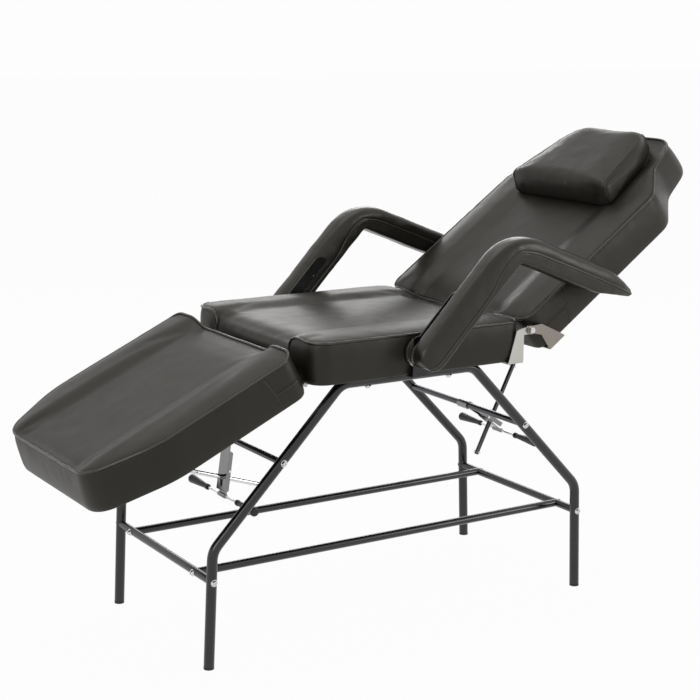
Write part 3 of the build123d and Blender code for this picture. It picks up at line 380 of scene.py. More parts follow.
def tube(path, radius, closed, sides, ref=None):
    """Verts and faces of a tube along a path; ref gives a side direction for each point."""
    path = np.asarray(path, float)
    tan = tangents(path, closed)
    if ref is None:
        ref = np.tile(np.array([0, 0, 1.0]), (len(path), 1))
        ref[np.abs((tan * ref).sum(1)) > 0.95] = (1.0, 0, 0)
    one = np.cross(tan, ref)
    one /= np.linalg.norm(one, axis=1)[:, None]
    two = np.cross(tan, one)
    angles = [2 * math.pi * s / sides for s in range(sides)]
    verts = [p + radius * (math.cos(a) * u + math.sin(a) * v)
             for p, u, v in zip(path, one, two) for a in angles]
    grid = round_grid(np.arange(len(verts)).reshape(-1, sides))
    if closed:
        return np.array(verts), quads(np.vstack([grid, grid[:1]]))
    ends = [tuple(grid[0, :-1].tolist()), tuple(grid[-1, -2::-1].tolist())]
    return np.array(verts), quads(grid) + ends


def join(parts):
    """Several (verts, faces) as one."""
    verts, faces, base = [], [], 0
    for v, f in parts:
        verts.append(np.asarray(v))
        faces += [tuple(i + base for i in face) for face in f]
        base += len(v)
    return np.vstack(verts), faces


STITCH_SIDES = 5
STITCH_RINGS = ((-0.5, 0.35, -0.3), (-0.25, 1.0, 0.5), (0.25, 1.0, 0.5), (0.5, 0.35, -0.3))
stitch_grid = round_grid(np.arange(4 * STITCH_SIDES).reshape(4, STITCH_SIDES))
STITCH_FACES = quads(stitch_grid, turn=True) + [(4, 3, 2, 1, 0), (15, 16, 17, 18, 19)]


def stitches(path, up, pitch=0.0052, length=0.0034, radius=0.0005, closed=False):
    """A row of thread stitches that lie along a path on a surface whose normals are up.

    Each is a short bead of four rings: where it is along its length, how thick, and how high.
    """
    both = np.hstack([path, up])
    if closed:
        both = np.vstack([both, both[:1]])
    steps = steps_along(both[:, :3])
    count = max(2, int(steps[-1] / pitch))
    at = (np.arange(count) + 0.5) * steps[-1] / count

    def places(s):
        return np.stack([np.interp(s, steps, both[:, k]) for k in range(6)], 1)

    angles = [2 * math.pi * c / STITCH_SIDES for c in range(STITCH_SIDES)]
    beads = []
    for m, p, q in zip(places(at), places(at - length / 2), places(at + length / 2)):
        high = m[3:] / np.linalg.norm(m[3:])
        along = q[:3] - p[:3]
        along /= np.linalg.norm(along)
        wide = np.cross(along, high)
        rows = []
        for share, size, lift in STITCH_RINGS:
            centre = m[:3] + along * share * length + high * radius * lift
            rows += [centre + radius * size * (math.cos(a) * wide + math.sin(a) * high)
                     for a in angles]
        beads.append((np.array(rows), STITCH_FACES))
    return join(beads)


def new_piece(name, verts, faces, mat, body):
    mesh = bpy.data.meshes.new(name)
    mesh.from_pydata([tuple(v) for v in verts], [], faces)
    mesh.update()
    mesh.polygons.foreach_set("use_smooth", [True] * len(mesh.polygons))
    mesh.materials.append(mat)
    obj = bpy.data.objects.new(name, mesh)
    bpy.context.scene.collection.objects.link(obj)
    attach(obj, body)
    return obj


def read(obj, what):
    """The places ("co") or the normals ("normal") of a piece's vertices."""
    out = np.zeros(len(obj.data.vertices) * 3)
    obj.data.vertices.foreach_get(what, out)
    return out.reshape(-1, 3)


def put(obj, pts):
    obj.data.vertices.foreach_set("co", np.asarray(pts).ravel())
    obj.data.update()


def push_out(obj, move):
    """Moves each vertex along its normal, and has the piece smoothed afterwards."""
    put(obj, read(obj, "co") + read(obj, "normal") * np.asarray(move)[:, None])
    mod = obj.modifiers.new("smooth", "SUBSURF")
    mod.levels = mod.render_levels = 1


# Cloth: each soft piece is pinned at its seams and its board, blown up a little, and frozen
CLOTH_FRAMES = 20
soft_jobs = []


def cloth_job(obj, pins, pressure, cap, shrink, bend):
    """Notes a piece for the cloth. cap is about the most that a point of it may move."""
    soft_jobs.append((obj, cap, pins, pressure, shrink, bend))


def add_cloth(obj, pins, pressure, shrink, bend):
    group = obj.vertex_groups.new(name="pin")
    for level in np.unique(pins):
        if level > 0:
            group.add(np.flatnonzero(pins == level).tolist(), float(level), "REPLACE")
    mod = obj.modifiers.new("cloth", "CLOTH")
    cloth = mod.settings
    cloth.quality = 6
    cloth.mass = 0.4
    cloth.tension_stiffness = cloth.compression_stiffness = 40
    cloth.shear_stiffness = 20
    cloth.bending_stiffness = bend
    cloth.tension_damping = cloth.compression_damping = cloth.shear_damping = 25
    cloth.air_damping = 4
    cloth.vertex_group_mass = "pin"
    cloth.pin_stiffness = 40
    cloth.use_pressure = True
    cloth.uniform_pressure_force = pressure
    cloth.shrink_min = shrink
    cloth.effector_weights.gravity = 0
    mod.collision_settings.use_collision = False
    mod.point_cache.frame_start = 1
    mod.point_cache.frame_end = CLOTH_FRAMES


def freeze_cloth(obj, cap, graph):
    """Keeps what the cloth did to a piece, with far moves held back, and takes it off."""
    rest = read(obj, "co")
    moved = np.zeros(rest.size)
    shown = obj.evaluated_get(graph).to_mesh()
    shown.vertices.foreach_get("co", moved)
    obj.evaluated_get(graph).to_mesh_clear()
    step = moved.reshape(-1, 3) - rest
    size = np.linalg.norm(step, axis=1)
    keep = cap * np.tanh(size / cap) / np.maximum(size, 1e-9)
    obj.modifiers.clear()
    obj.vertex_groups.clear()
    put(obj, rest + step * keep[:, None])


def run_cloth():
    for obj, _, *settings in soft_jobs:
        add_cloth(obj, *settings)
    for step in range(1, CLOTH_FRAMES + 1):
        bpy.context.scene.frame_set(step)
    graph = bpy.context.evaluated_depsgraph_get()
    for obj, cap, *_ in soft_jobs:
        freeze_cloth(obj, cap, graph)
    bpy.context.scene.frame_set(1)


# Cushions: a top panel, a boxing round the sides, and a hem folded under the board. LEVELS are
# the boxing's rows as shares of its height, and each groove, a dark line of painted shade, lies so
# far within its piping and so far above it.
THICK, HALF_WIDTH = 0.097, 0.304
SEAM_DRAW, SWELL = 0.0045, 0.0006
LEVELS = (0.95, 0.86, 0.74, 0.62, 0.5, 0.38, 0.26, 0.14, 0.05, 0.0)
HEM_IN, HEM_TOP_IN, BOARD_TOP = 0.0105, 0.0101, 0.0126
UNDER_SHARE = 0.965
LEAN_REACH = 0.16
CROWN, CROWN_REACH = 0.0115, 0.055
HOLLOW, HOLLOW_REACH = 0.0135, 0.03
ROLL_START, ROLL_SLOPE = 0.150, 0.062
END_REACH, END_DIP = 0.05, 0.009
FRONT_SEAM_Y, FRONT_SEAM_SLOPE = 0.186, 0.016
FRONT_REACH, FRONT_DEPTH = 0.05, 0.02
KNOB_Y, KNOB_WIDTH, KNOB_SHARE = 0.225, 0.022, 0.12
PIN_BOARD, PIN_HEM, PIN_SEAM, PIN_CORNER = 1.0, 0.98, 0.96, 0.9
PIN_PILLOW_SEAM, PIN_ARM_FLAT, PIN_ARM_SEAM, PIN_ARM_END = 0.9, 0.97, 0.93, 0.9
CORNER_REACH, CORNER_CALM = 0.035, 0.07
TOP_RIPPLE, SIDE_RIPPLE, SEAM_CREASE, SIDE_CREASE = 0.0012, 0.0009, 0.0009, 0.0003
CREASE_SCALE, CREASE_REACH = 30, 0.022
PIPE_RADIUS, PIPE_OUT, PIPE_UP = 0.0031, 0.0016, 0.0008
STITCH_OUT, STITCH_DOWN = 0.0008, 0.0034
GROOVE_RADIUS, GROOVES = 0.0009, ((0.0033, 0.0004), (0.0006, -0.0034))


def inside_rolls(y):
    """One over the flat middle of a cushion, and none on the rolls along its two sides."""
    return 1 - eased((np.abs(y) - ROLL_START) / ROLL_SLOPE)


def filled(outline, a, b, c, d, n_long, n_short):
    """A grid of places inside an outline, even along its four sides between corners a to d."""
    right = resample(between(outline, a, b), n_long)
    rear = resample(between(outline, b, c), n_short)[::-1]
    left = resample(between(outline, c, d), n_long)[::-1]
    front = resample(between(outline, d, a), n_short)
    u = np.linspace(0, 1, n_long)[:, None, None]
    v = np.linspace(0, 1, n_short)[None, :, None]
    return ((1 - v) * left[:, None] + v * right[:, None] + (1 - u) * front[None]
            + u * rear[None]
            - ((1 - u) * (1 - v) * left[0] + u * (1 - v) * left[-1]
               + (1 - u) * v * right[0] + u * v * right[-1]))


class Cushion:
    """One cushion, from half of its outline as corners (x, y, radius) in mm, in order of x.

    counts are the points of its top along and across. fall is how far the end at x = 0 rolls
    over, and lean how far the top of the other end leans back. The end where another section
    meets it dips, the first one or the last, and roll_up is how high the side rolls stay there.
    ripple is how much the cover ripples.
    """

    def __init__(self, name, base, body, half, counts, fall=0.0, lean=0.0, dip_first=True,
                 roll_up=0.0, ripple=1.0):
        self.name, self.base, self.body, self.ripple = name, base, body, ripple
        self.fall, self.dip_first, self.roll_up = fall, dip_first, roll_up
        corners = [(x, y) for x, y, _ in half] + [(x, -y) for x, y, _ in reversed(half)]
        radii = [radius for _, _, radius in half + half[::-1]]
        outline, mids = rounded(np.array(corners) * MM, np.array(radii) * MM)
        ends = [mids[k] for k in (0, len(half) - 1, len(half), -1)]
        grid = filled(outline, *ends, *counts)
        flat = grid.reshape(-1, 2)
        dense = resample(outline, 700, True)
        gap = np.sqrt(((flat[:, None] - dense[None]) ** 2).sum(2)).min(1)
        index = np.arange(len(flat)).reshape(counts)
        loop = np.r_[index[:, 0], index[-1, 1:], index[-2::-1, -1], index[0, -2:0:-1]]
        edge, out, n = flat[loop], square_to(flat[loop]), len(loop)
        self.flat, self.gap, self.loop, self.out = flat, gap, loop, out
        self.corners = flat[index[[0, -1, 0, -1], [0, 0, -1, -1]]]
        self.free = (self.falling(edge) > 0.5) & (edge[:, 0] < FRONT_DEPTH)

        top, height = flat.copy(), self.top_height(flat, gap)
        top[loop] -= out * SEAM_DRAW
        rings = [np.column_stack([top, height])]
        for share in LEVELS:
            swell = SWELL * (1 - (2 * share - 1) ** 2) - SEAM_DRAW * (2 * share - 1) ** 4
            rings.append(np.column_stack([edge + out * swell, height[loop] * share]))
        rings.append(np.column_stack([edge - out * HEM_IN, np.zeros(n)]))
        rings.append(np.column_stack([edge - out * HEM_TOP_IN, np.full(n, BOARD_TOP)]))
        self.rows = [loop] + [len(flat) + k * n + np.arange(n) for k in range(len(LEVELS) + 2)]
        start = len(flat) + (len(LEVELS) + 2) * n
        under = np.full(index.shape, -1)
        under.ravel()[loop] = self.rows[-1]
        inside = grid[1:-1, 1:-1].reshape(-1, 2) * UNDER_SHARE
        inside[:, 0] += flat[:, 0].mean() * (1 - UNDER_SHARE)
        under[1:-1, 1:-1] = start + np.arange(len(inside)).reshape(under[1:-1, 1:-1].shape)
        rings.append(np.column_stack([inside, np.full(len(inside), BOARD_TOP)]))
        local = np.vstack(rings)
        far = eased((local[:, 0] - flat[:, 0].max() + LEAN_REACH) / LEAN_REACH)
        local[:, 0] -= lean * far * np.clip(local[:, 2] / THICK - 0.1, 0, 1)
        faces = quads(index) + quads(round_grid(self.rows)) + quads(under, turn=True)
        self.obj = new_piece(name, to_world(base, local), faces, LEATHER, body)

        pins = np.zeros(len(local))
        pins[loop] = np.where(self.free, 0.0, PIN_SEAM)
        pins[self.rows[-3]] = PIN_HEM
        pins[self.rows[-2][0]:] = PIN_BOARD
        top_pins = pins[:len(flat)]
        for corner in self.corners:
            near = np.linalg.norm(flat - corner, axis=1) < CORNER_REACH
            top_pins[near] = np.maximum(top_pins[near], PIN_CORNER)
        self.pins = pins

    def falling(self, flat):
        """How far a place belongs to the rounded front between the two front seams."""
        if not self.fall:
            return np.zeros(len(flat))
        return eased((FRONT_SEAM_Y - np.abs(flat[:, 1])) / FRONT_SEAM_SLOPE + 0.5)

    def top_height(self, flat, gap):
        """Height of the top panel at places that lie gap inside its outline."""
        x, y = flat[:, 0], np.abs(flat[:, 1])
        far = x - x.min() if self.dip_first else x.max() - x
        at_end = 1 - eased(far / END_REACH)
        gap = gap + (np.clip(HALF_WIDTH - y, 0, 1) - gap) * at_end * self.roll_up
        rise = np.clip(gap / CROWN_REACH, 0, 1)
        crown = CROWN * np.sqrt(np.clip(1 - (1 - rise) ** 2, 0, 1))
        middle = inside_rolls(y)
        hollow = HOLLOW * middle * eased(gap / HOLLOW_REACH + 0.2)
        dip = END_DIP * middle * at_end
        drop = self.falling(flat) * self.fall * np.clip(1 - x / FRONT_REACH, 0, 1) ** 2
        knob = (self.fall * KNOB_SHARE * np.exp(-((y - KNOB_Y) / KNOB_WIDTH) ** 2)
                * np.exp(-(x / FRONT_REACH) ** 2))
        return THICK + crown - hollow - dip - drop + knob

    def finish(self, seed):
        """After the cloth: ripples in the cover, and the trim of its upper seam."""
        pts = read(self.obj, "co")
        move = np.zeros(len(pts))
        for k, p in enumerate(pts[:self.rows[-3][0]]):
            if k < len(self.flat):
                near = math.exp(-self.gap[k] / CREASE_REACH)
                corner = min(math.dist(self.flat[k], c) for c in self.corners)
                calm = self.ripple * float(eased(corner / CORNER_CALM))
                move[k] = calm * (TOP_RIPPLE * fbm(p, 6, seed)
                                  + SEAM_CREASE * near * fbm(p, CREASE_SCALE, seed + 5))
            else:
                move[k] = (SIDE_RIPPLE * fbm(p, 7, seed)
                           + SIDE_CREASE * fbm(p, CREASE_SCALE, seed + 9))
        push_out(self.obj, move)
        self.pts = read(self.obj, "co")
        self.trim()

    def trim(self):
        """Piping with a dark line of painted shade in the groove on each side of it, and stitches
        on the boxing below it.

        They run round the cushion, but on the seat only from one front seam round the back to the
        other, and down those two.
        """
        loop, up = self.loop, self.base[3]
        out = turned(self.base, np.column_stack([self.out, np.zeros(len(loop))]))
        line = self.pts[loop]
        line = (np.roll(line, 1, 0) + 2 * line + np.roll(line, -1, 0)) / 4
        line = line + out * PIPE_OUT + up * PIPE_UP
        row = self.pts[self.rows[1]] * 0.5 + self.pts[loop] * 0.5
        row = row + out * STITCH_OUT - up * STITCH_DOWN
        row_out, closed = out, not self.fall
        if self.fall:
            n, free = len(loop), np.flatnonzero(self.free)
            start = next(k for k in free if (k + 1) % n not in free)
            order = [(start + k) % n for k in range(n - len(free) + 2)]
            row, row_out = row[order[1:-1]], out[order[1:-1]]
            first, last = self.down(order[0])[::-1], self.down(order[-1])
            line = np.vstack([first, line[order], last])
            out = out[[order[0]] * len(first) + order + [order[-1]] * len(last)]
        path = resample(np.hstack([line, out]), int(len(line) * 1.6), closed)
        path, side = path[:, :3], path[:, 3:]
        side = side / np.linalg.norm(side, axis=1)[:, None]
        new_piece(self.name + "_piping", *tube(path, PIPE_RADIUS, closed, 10, side),
                  PIPING, self.body)
        lift = np.cross(side, tangents(path, closed))
        lift *= np.sign(lift @ up).mean()
        # Dark lines of painted shade in the grooves on both sides of the piping.
        grooves = [tube(path - side * within + lift * high, GROOVE_RADIUS, closed, 6, side)
                   for within, high in GROOVES]
        new_piece(self.name + "_groove_shade", *join(grooves), GROOVE_SHADE, self.body)
        new_piece(self.name + "_stitching", *stitches(row, row_out + up * 0.3, closed=closed),
                  THREAD, self.body)

    def down(self, k):
        """The seam that runs down the boxing from loop position k."""
        sunk = self.side_out(k) * 0.0010
        return np.array([self.pts[row[k]] - sunk for row in self.rows[1:len(LEVELS) + 1]])

    def side_point(self, k, share):
        """A place on the boxing: loop position k, whole or not, and its share of the height."""
        shares = np.r_[1.0, LEVELS]
        n, k0 = len(self.loop), int(math.floor(k)) % len(self.loop)
        w = k - math.floor(k)
        at = np.interp(share, shares[::-1], np.arange(len(shares))[::-1])
        r0 = min(int(at), len(shares) - 2)
        s = at - r0
        low, high = (self.pts[self.rows[r][k0]] * (1 - w) + self.pts[self.rows[r][(k0 + 1) % n]] * w
                     for r in (r0, r0 + 1))
        return low * (1 - s) + high * s

    def side_out(self, k):
        """The direction out of the boxing at loop position k."""
        return turned(self.base, [[*self.out[int(round(k)) % len(self.loop)], 0]])[0]

    def k_at(self, x, side):
        """Loop position of the boxing at x along the cushion, on the given side."""
        edge = self.flat[self.loop]
        ok = np.where(np.sign(edge[:, 1]) == side)[0]
        ok = ok[np.argsort(edge[ok, 0])]
        keep = np.abs(self.out[ok][:, 1]) > 0.25
        return float(np.interp(x, edge[ok][keep][:, 0], ok[keep]))

    def seam(self, name, marks, rows):
        """A sewn seam on the boxing through (k, share) marks, with rows of stitches beside it."""
        marks = resample(marks, len(marks) * 8)
        line = np.array([self.side_point(k, share) for k, share in marks])
        out = np.array([self.side_out(k) for k, _ in marks])
        across = np.cross(tangents(line, False), out)
        # The seam's groove, drawn as a dark line of painted shade.
        new_piece(name, *tube(line + out * 0.0001, GROOVE_RADIUS, False, 6), GROOVE_SHADE, self.body)
        fold = tube(line + across * 0.0018 - out * 0.0002, 0.0013, False, 8)
        new_piece(name + "_fold", *fold, PIPING, self.body)
        made = [stitches(line + across * aside + out * 0.0005, out) for aside in rows]
        new_piece(name + "_stitches", *join(made), THREAD, self.body)


seat = Cushion("seat_padding", SEAT, "base_frame", [(0, 304, 46), (597, 304, 34)], (80, 90),
               fall=0.024, dip_first=False)
back = Cushion("back_padding", BACK, "back_rest",
               [(3, 304, 34), (506, 304, 62), (606, 213, 95), (738, 174, 78)], (98, 76),
               lean=0.013, ripple=0.8)
leg = Cushion("leg_padding", LEG, "leg_rest",
              [(22, 304, 40), (402, 304, 210), (582, 232, 76)], (76, 78),
              lean=0.016, roll_up=1.0, ripple=0.5)
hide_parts("seat_cushion")
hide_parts("back_cushion")
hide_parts("leg_cushion")
for cushion in (seat, back, leg):
    cloth_job(cushion.obj, cushion.pins, 0.9, 0.0035, 0.0, 2.5)


# Pillow: one panel wrapped from the neck side over the top, and two end caps
PILLOW_START, PILLOW_END, PILLOW_ASIDE = 0.433, 0.692, 0.010
PILLOW_GROUND = THICK + 0.0113
PILLOW_POINTS, PILLOW_HALF_LENGTH = 84, 0.18
END_ROUNDING, LOW_END_REACH, CAP_BULGE = 0.010, 0.06, 0.006
PILLOW_SAG, SAG_HEIGHT, PILLOW_BOTTOM = 0.0125, 0.03, 0.004
PILLOW_SEAM_RING, PILLOW_RIPPLE = 3, 0.0010
FINE_STITCH = (0.005, 0.0032, 0.00045)


def pillow_half_width(x):
    """Half of the pillow's width: less towards the head, where it narrows in a curve."""
    share = np.clip((x - PILLOW_START) / (PILLOW_END - PILLOW_START), 0, 1)
    return 0.200 - 0.060 * share - 0.036 * np.clip(share / 0.4 - 1.5, 0, 1) ** 2


def build_pillow():
    """The pillow, and the numbers of the rings that are its two end seams, each with its side."""
    profile = rounded(
        [(PILLOW_END, 0.0), (PILLOW_START, 0.0), (PILLOW_START + 0.016, 0.073),
         (PILLOW_END - 0.010, 0.057)], [0.022, 0.014, 0.015, 0.036])[0]
    profile = resample(profile, PILLOW_POINTS, True)
    away = -square_to(profile)
    width = pillow_half_width(profile[:, 0])
    across = np.r_[np.linspace(0, 1, 24)[:-1] * 0.93, np.linspace(0.93, 1, 7)]
    across = np.r_[-across[::-1], across[1:]]
    n, verts = PILLOW_POINTS, []
    for v in across:
        gap = (1 - abs(v)) * PILLOW_HALF_LENGTH
        past = max(END_ROUNDING - gap, 0)
        ring = profile - away * (END_ROUNDING - math.sqrt(max(END_ROUNDING ** 2 - past ** 2, 0)))
        ring[:, 1] *= 1.02 - 0.20 * float(np.clip(1 - gap / LOW_END_REACH, 0, 1)) ** 2
        for (x, z), half in zip(ring, width):
            y = v * half
            sag = PILLOW_SAG * float(inside_rolls(y)) * float(eased(1 - z / SAG_HEIGHT))
            verts.append((x, y - PILLOW_ASIDE, PILLOW_GROUND + z - sag))
    index = np.arange(len(verts)).reshape(-1, n)
    faces = quads(round_grid(index), turn=True)
    for side in (-1, 1):
        rim = index[0] if side < 0 else index[-1]
        centre = np.array([verts[k] for k in rim]).mean(0)
        rings = [rim]
        for r in (0.25, 0.5, 0.75):
            rings.append(np.arange(n) + len(verts))
            for k in rim:
                at = np.array(verts[k]) * (1 - r) + centre * r
                bulge = CAP_BULGE * math.sin(r * math.pi / 2)
                at[1] = side * (pillow_half_width(at[0]) + bulge) - PILLOW_ASIDE
                verts.append(tuple(at))
        cap = quads(round_grid(rings), turn=True) + zipped(rings[-1].tolist())
        faces += facing(cap, side > 0)
    obj = new_piece("pillow_padding", to_world(BACK, verts), faces, LEATHER, "pillow")
    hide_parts("head_pillow")
    seams = [(-1, PILLOW_SEAM_RING), (1, len(across) - 1 - PILLOW_SEAM_RING)]
    pins = np.full(len(verts), PIN_BOARD)
    pins[:index.size] = np.tile(profile[:, 1] < PILLOW_BOTTOM, len(across)) * PIN_BOARD
    for _, ring in seams:
        pins[index[ring]] = PIN_PILLOW_SEAM
    cloth_job(obj, pins, 1.2, 0.003, -0.002, 1.5)
    return obj, seams


pillow, pillow_seams = build_pillow()


# Arm rests: a bent pad whose section is flat below and on its sides, and round above
ARM_LOW, ARM_HIGH = math.radians(46.2), math.radians(21.5)
ARM_ELBOW_X, ARM_ELBOW_Z, ARM_Y = 0.2235, 0.954, 0.350
ARM_HALF_THICK, ARM_HALF_WIDTH = 0.035, 0.034
ARM_LOW_END, ARM_HIGH_TOP, ARM_TIP, ARM_HIGH_UNDER = -0.376, 0.318, 0.406, 0.279
ARM_STATIONS, ARM_FIRST, ARM_LAST = (44, 30, 24), 2, -1
ARM_SEAM_LOW, ARM_SEAM_RISE, ARM_INSIDE = 0.20, 0.30, 0.0052
ELBOW_INSIDE = (0.2325 + SHIFT, 0.9128)
ARM_FOLD, FOLDS, FOLD_FROM, FOLD_REACH = 0.0014, 15, 0.016, 0.024
ARM_RIPPLE, ARM_PIPE_RADIUS, ARM_GROOVE_RADIUS, ARM_GROOVE_ASIDE = 0.0012, 0.0027, 0.0010, 0.0031


def arm_run(angle, along, rise):
    """A place in the side view, from the elbow along a line at this angle, and off it."""
    return (ARM_ELBOW_X + along * math.cos(angle) - rise * math.sin(angle),
            ARM_ELBOW_Z + along * math.sin(angle) + rise * math.cos(angle))


def arm_paths():
    """Upper and lower side lines of an arm, station by station, in the side view."""
    bend, t = math.tan((ARM_LOW + ARM_HIGH) / 2), ARM_HALF_THICK
    corners = [
        arm_run(ARM_LOW, ARM_LOW_END, -t), arm_run(ARM_LOW, ARM_LOW_END, t),
        arm_run(ARM_LOW, t * bend, t), arm_run(-ARM_HIGH, ARM_HIGH_TOP, t),
        arm_run(-ARM_HIGH, ARM_TIP, 0.008), arm_run(-ARM_HIGH, ARM_TIP, -0.010),
        arm_run(-ARM_HIGH, ARM_HIGH_UNDER, -t), arm_run(ARM_LOW, -t * bend, -t),
    ]
    radii = [0.033, 0.033, 0.150, 0.160, 0.0056, 0.0056, 0.160, 0.007]
    outline, mids = rounded(corners, radii, 24)

    def stretch(first, last):
        return between(outline, mids[first], mids[last])

    start = resample(stretch(0, 1), 41)
    tip = resample(stretch(4, 5), 9)
    upper = [np.vstack([start[20:], stretch(1, 2)[1:]]), stretch(2, 3),
             np.vstack([stretch(3, 4), tip[1:5]])]
    lower = [np.vstack([start[:21][::-1], stretch(7, 0)[::-1][1:]]), stretch(6, 7)[::-1],
             np.vstack([stretch(5, 6)[::-1], tip[4:][::-1][1:]])]
    lines = []
    for parts in (upper, lower):
        line = [resample(part, n) for part, n in zip(parts, ARM_STATIONS)]
        lines.append(np.vstack([line[0]] + [piece[1:] for piece in line[1:]]))
    return lines


def arm_ring(seam):
    """One section of an arm: across from -1 to 1, and up as a share of the thickness.

    With it come the numbers of the two places where the seams run, at the given height.
    """
    low = [(0.93, 0.015), (0.985, 0.06)]
    ring = [(y, 0.0) for y in np.linspace(-0.82, 0.82, 9)] + low
    ring += [(1.0, h) for h in np.linspace(0.10, seam - 0.03, 5)]
    first = len(ring)
    ring.append((0.955, seam))
    for a in np.linspace(0.06, math.pi - 0.06, 25):
        c, s = math.cos(a), math.sin(a)
        ring.append((math.copysign(abs(c) ** 0.62, c), seam + (1 - seam) * abs(s) ** 0.78))
    second = len(ring)
    ring.append((-0.955, seam))
    ring += [(-1.0, h) for h in np.linspace(seam - 0.03, 0.10, 5)]
    ring += [(-y, h) for y, h in reversed(low)]
    return np.array(ring), (first, second)


class Arm:
    """One padded arm, on the left (-1) or the right (1). Its seams run higher past the elbow."""

    def __init__(self, name, side):
        self.name, self.side = name, side
        upper, lower = arm_paths()
        run = steps_along((upper + lower) / 2)
        run /= run[-1]
        rings = [arm_ring(ARM_SEAM_LOW + ARM_SEAM_RISE * float(eased((t - 0.30) / 0.16)))[0]
                 for t in run]
        self.ring, self.seams = arm_ring(ARM_SEAM_LOW)
        verts = []
        for t, up, low, ring in zip(run, upper, lower, rings):
            tip = float(np.clip((t - 0.86) / 0.14, 0, 1))
            narrow = (1 - 0.10 * (1 - float(eased(t / 0.05)))) * (1 - 0.62 * tip ** 2.2)
            for y, h in ring:
                x, z = low + (up - low) * h
                inner = ARM_INSIDE * max(-y, 0) * float(eased((0.62 - t) / 0.2))
                out = ARM_Y + y * ARM_HALF_WIDTH * narrow - inner
                verts.append((x + SHIFT, side * out, z))
        self.index = index = np.arange(len(verts)).reshape(len(run), -1)
        faces = facing(quads(round_grid(index), turn=True), side > 0)
        faces += facing(zipped(index[0].tolist()), side < 0)
        faces += facing(zipped(index[-1].tolist()), side > 0)
        self.obj = new_piece(name, verts, faces, ARM_LEATHER, "base_frame")
        pins = np.zeros(index.shape)
        pins[:, self.ring[:, 1] < 0.02] = PIN_ARM_FLAT
        pins[:, self.seams] = PIN_ARM_SEAM
        pins[[0, -1]] = PIN_ARM_END
        cloth_job(self.obj, pins.ravel(), 1.6, 0.003, -0.012, 0.6)

    def finish(self):
        """After the cloth: folds fanned out from inside the elbow, and the trim of both seams."""
        n = len(self.ring)
        move = []
        for k, p in enumerate(read(self.obj, "co")):
            x, z = p[0] - ELBOW_INSIDE[0], p[2] - ELBOW_INSIDE[1]
            away, turn = math.hypot(x, z), math.atan2(z, x)
            fold = (ARM_FOLD * math.sin(turn * FOLDS + 2.5 * fbm(p, 14, 2))
                    * math.exp(-((away - FOLD_FROM) / FOLD_REACH) ** 2))
            move.append(ARM_RIPPLE * fbm(p, 16, self.side * 4)
                        + fold * eased(self.ring[k % n][1] * 1.5))
        push_out(self.obj, move)
        pts, nor = read(self.obj, "co"), read(self.obj, "normal")
        piping, thread, groove = [], [], []
        for seam, below in zip(self.seams, (self.seams[0] - 1, self.seams[1] + 1)):
            rows = self.index[ARM_FIRST:ARM_LAST]
            line, up = pts[rows[:, seam]], nor[rows[:, seam]]
            piping.append(tube(line + up * 0.0004, ARM_PIPE_RADIUS, False, 9, up))
            flank = np.cross(up, tangents(line, False))
            flank /= np.linalg.norm(flank, axis=1)[:, None]
            # Dark lines of painted shade in the grooves on both sides of each seam's piping.
            for aside in (-ARM_GROOVE_ASIDE, ARM_GROOVE_ASIDE):
                groove.append(tube(line + up * 0.0002 + flank * aside, ARM_GROOVE_RADIUS, False,
                                   6, up))
            mix = line * 0.35 + pts[rows[:, below]] * 0.65
            thread.append(stitches(mix + up * 0.0004, up, *FINE_STITCH))
        for tag, made, look in (("_groove_shade", groove, GROOVE_SHADE), ("_piping", piping, PIPING),
                                ("_stitching", thread, THREAD)):
            new_piece(self.name + tag, *join(made), look, "base_frame")


arms = [Arm("left_arm_padding", -1), Arm("right_arm_padding", 1)]
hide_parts("left_armrest_pad")
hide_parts("right_armrest_pad")

run_cloth()

for number, cushion in enumerate((seat, back, leg)):
    cushion.finish(3.7 * number)
for arm in arms:
    arm.finish()


def finish_pillow():
    """After the cloth: faint ripples, and at each end two lines of piping with stitches between."""
    push_out(pillow, [PILLOW_RIPPLE * fbm(p, 8, 8) + SIDE_CREASE * fbm(p, CREASE_SCALE, 3)
                      for p in read(pillow, "co")])
    pts, nor = read(pillow, "co"), read(pillow, "normal")
    piping, thread = [], []
    for side, ring in pillow_seams:
        for at in (ring + side, ring - side, ring):
            rows = np.arange(PILLOW_POINTS) + at * PILLOW_POINTS
            line, up = pts[rows], nor[rows]
            if at == ring:
                thread.append(stitches(line + up * 0.0005, up, *FINE_STITCH, closed=True))
            else:
                piping.append(tube(line + up * 0.0002, 0.0012, True, 8, up))
    new_piece("pillow_piping", *join(piping), PIPING, "pillow")
    new_piece("pillow_stitching", *join(thread), THREAD, "pillow")


finish_pillow()


# Patches sewn at the hinge corners of the leg rest and the back rest
def patch(cushion, name, tag, side, places, height):
    """A seam down the boxing through three places, and a fold from the middle one to the fourth."""
    top, middle, low, end = (cushion.k_at(x, side) for x in places)
    cushion.seam(f"{name}_patch_seam_{tag}", [(top, 0.97), (middle, height), (low, 0.02)],
                 (0.0028,))
    cushion.seam(f"{name}_patch_fold_{tag}", [(middle, height), (end, height)], (0.003, -0.003))


for side, tag in ((-1, "left"), (1, "right")):
    patch(leg, "leg", tag, -side, (0.118, 0.106, 0.098, 0.040), 0.48)
    patch(back, "back", tag, side, (0.150, 0.128, 0.112, 0.030), 0.5)


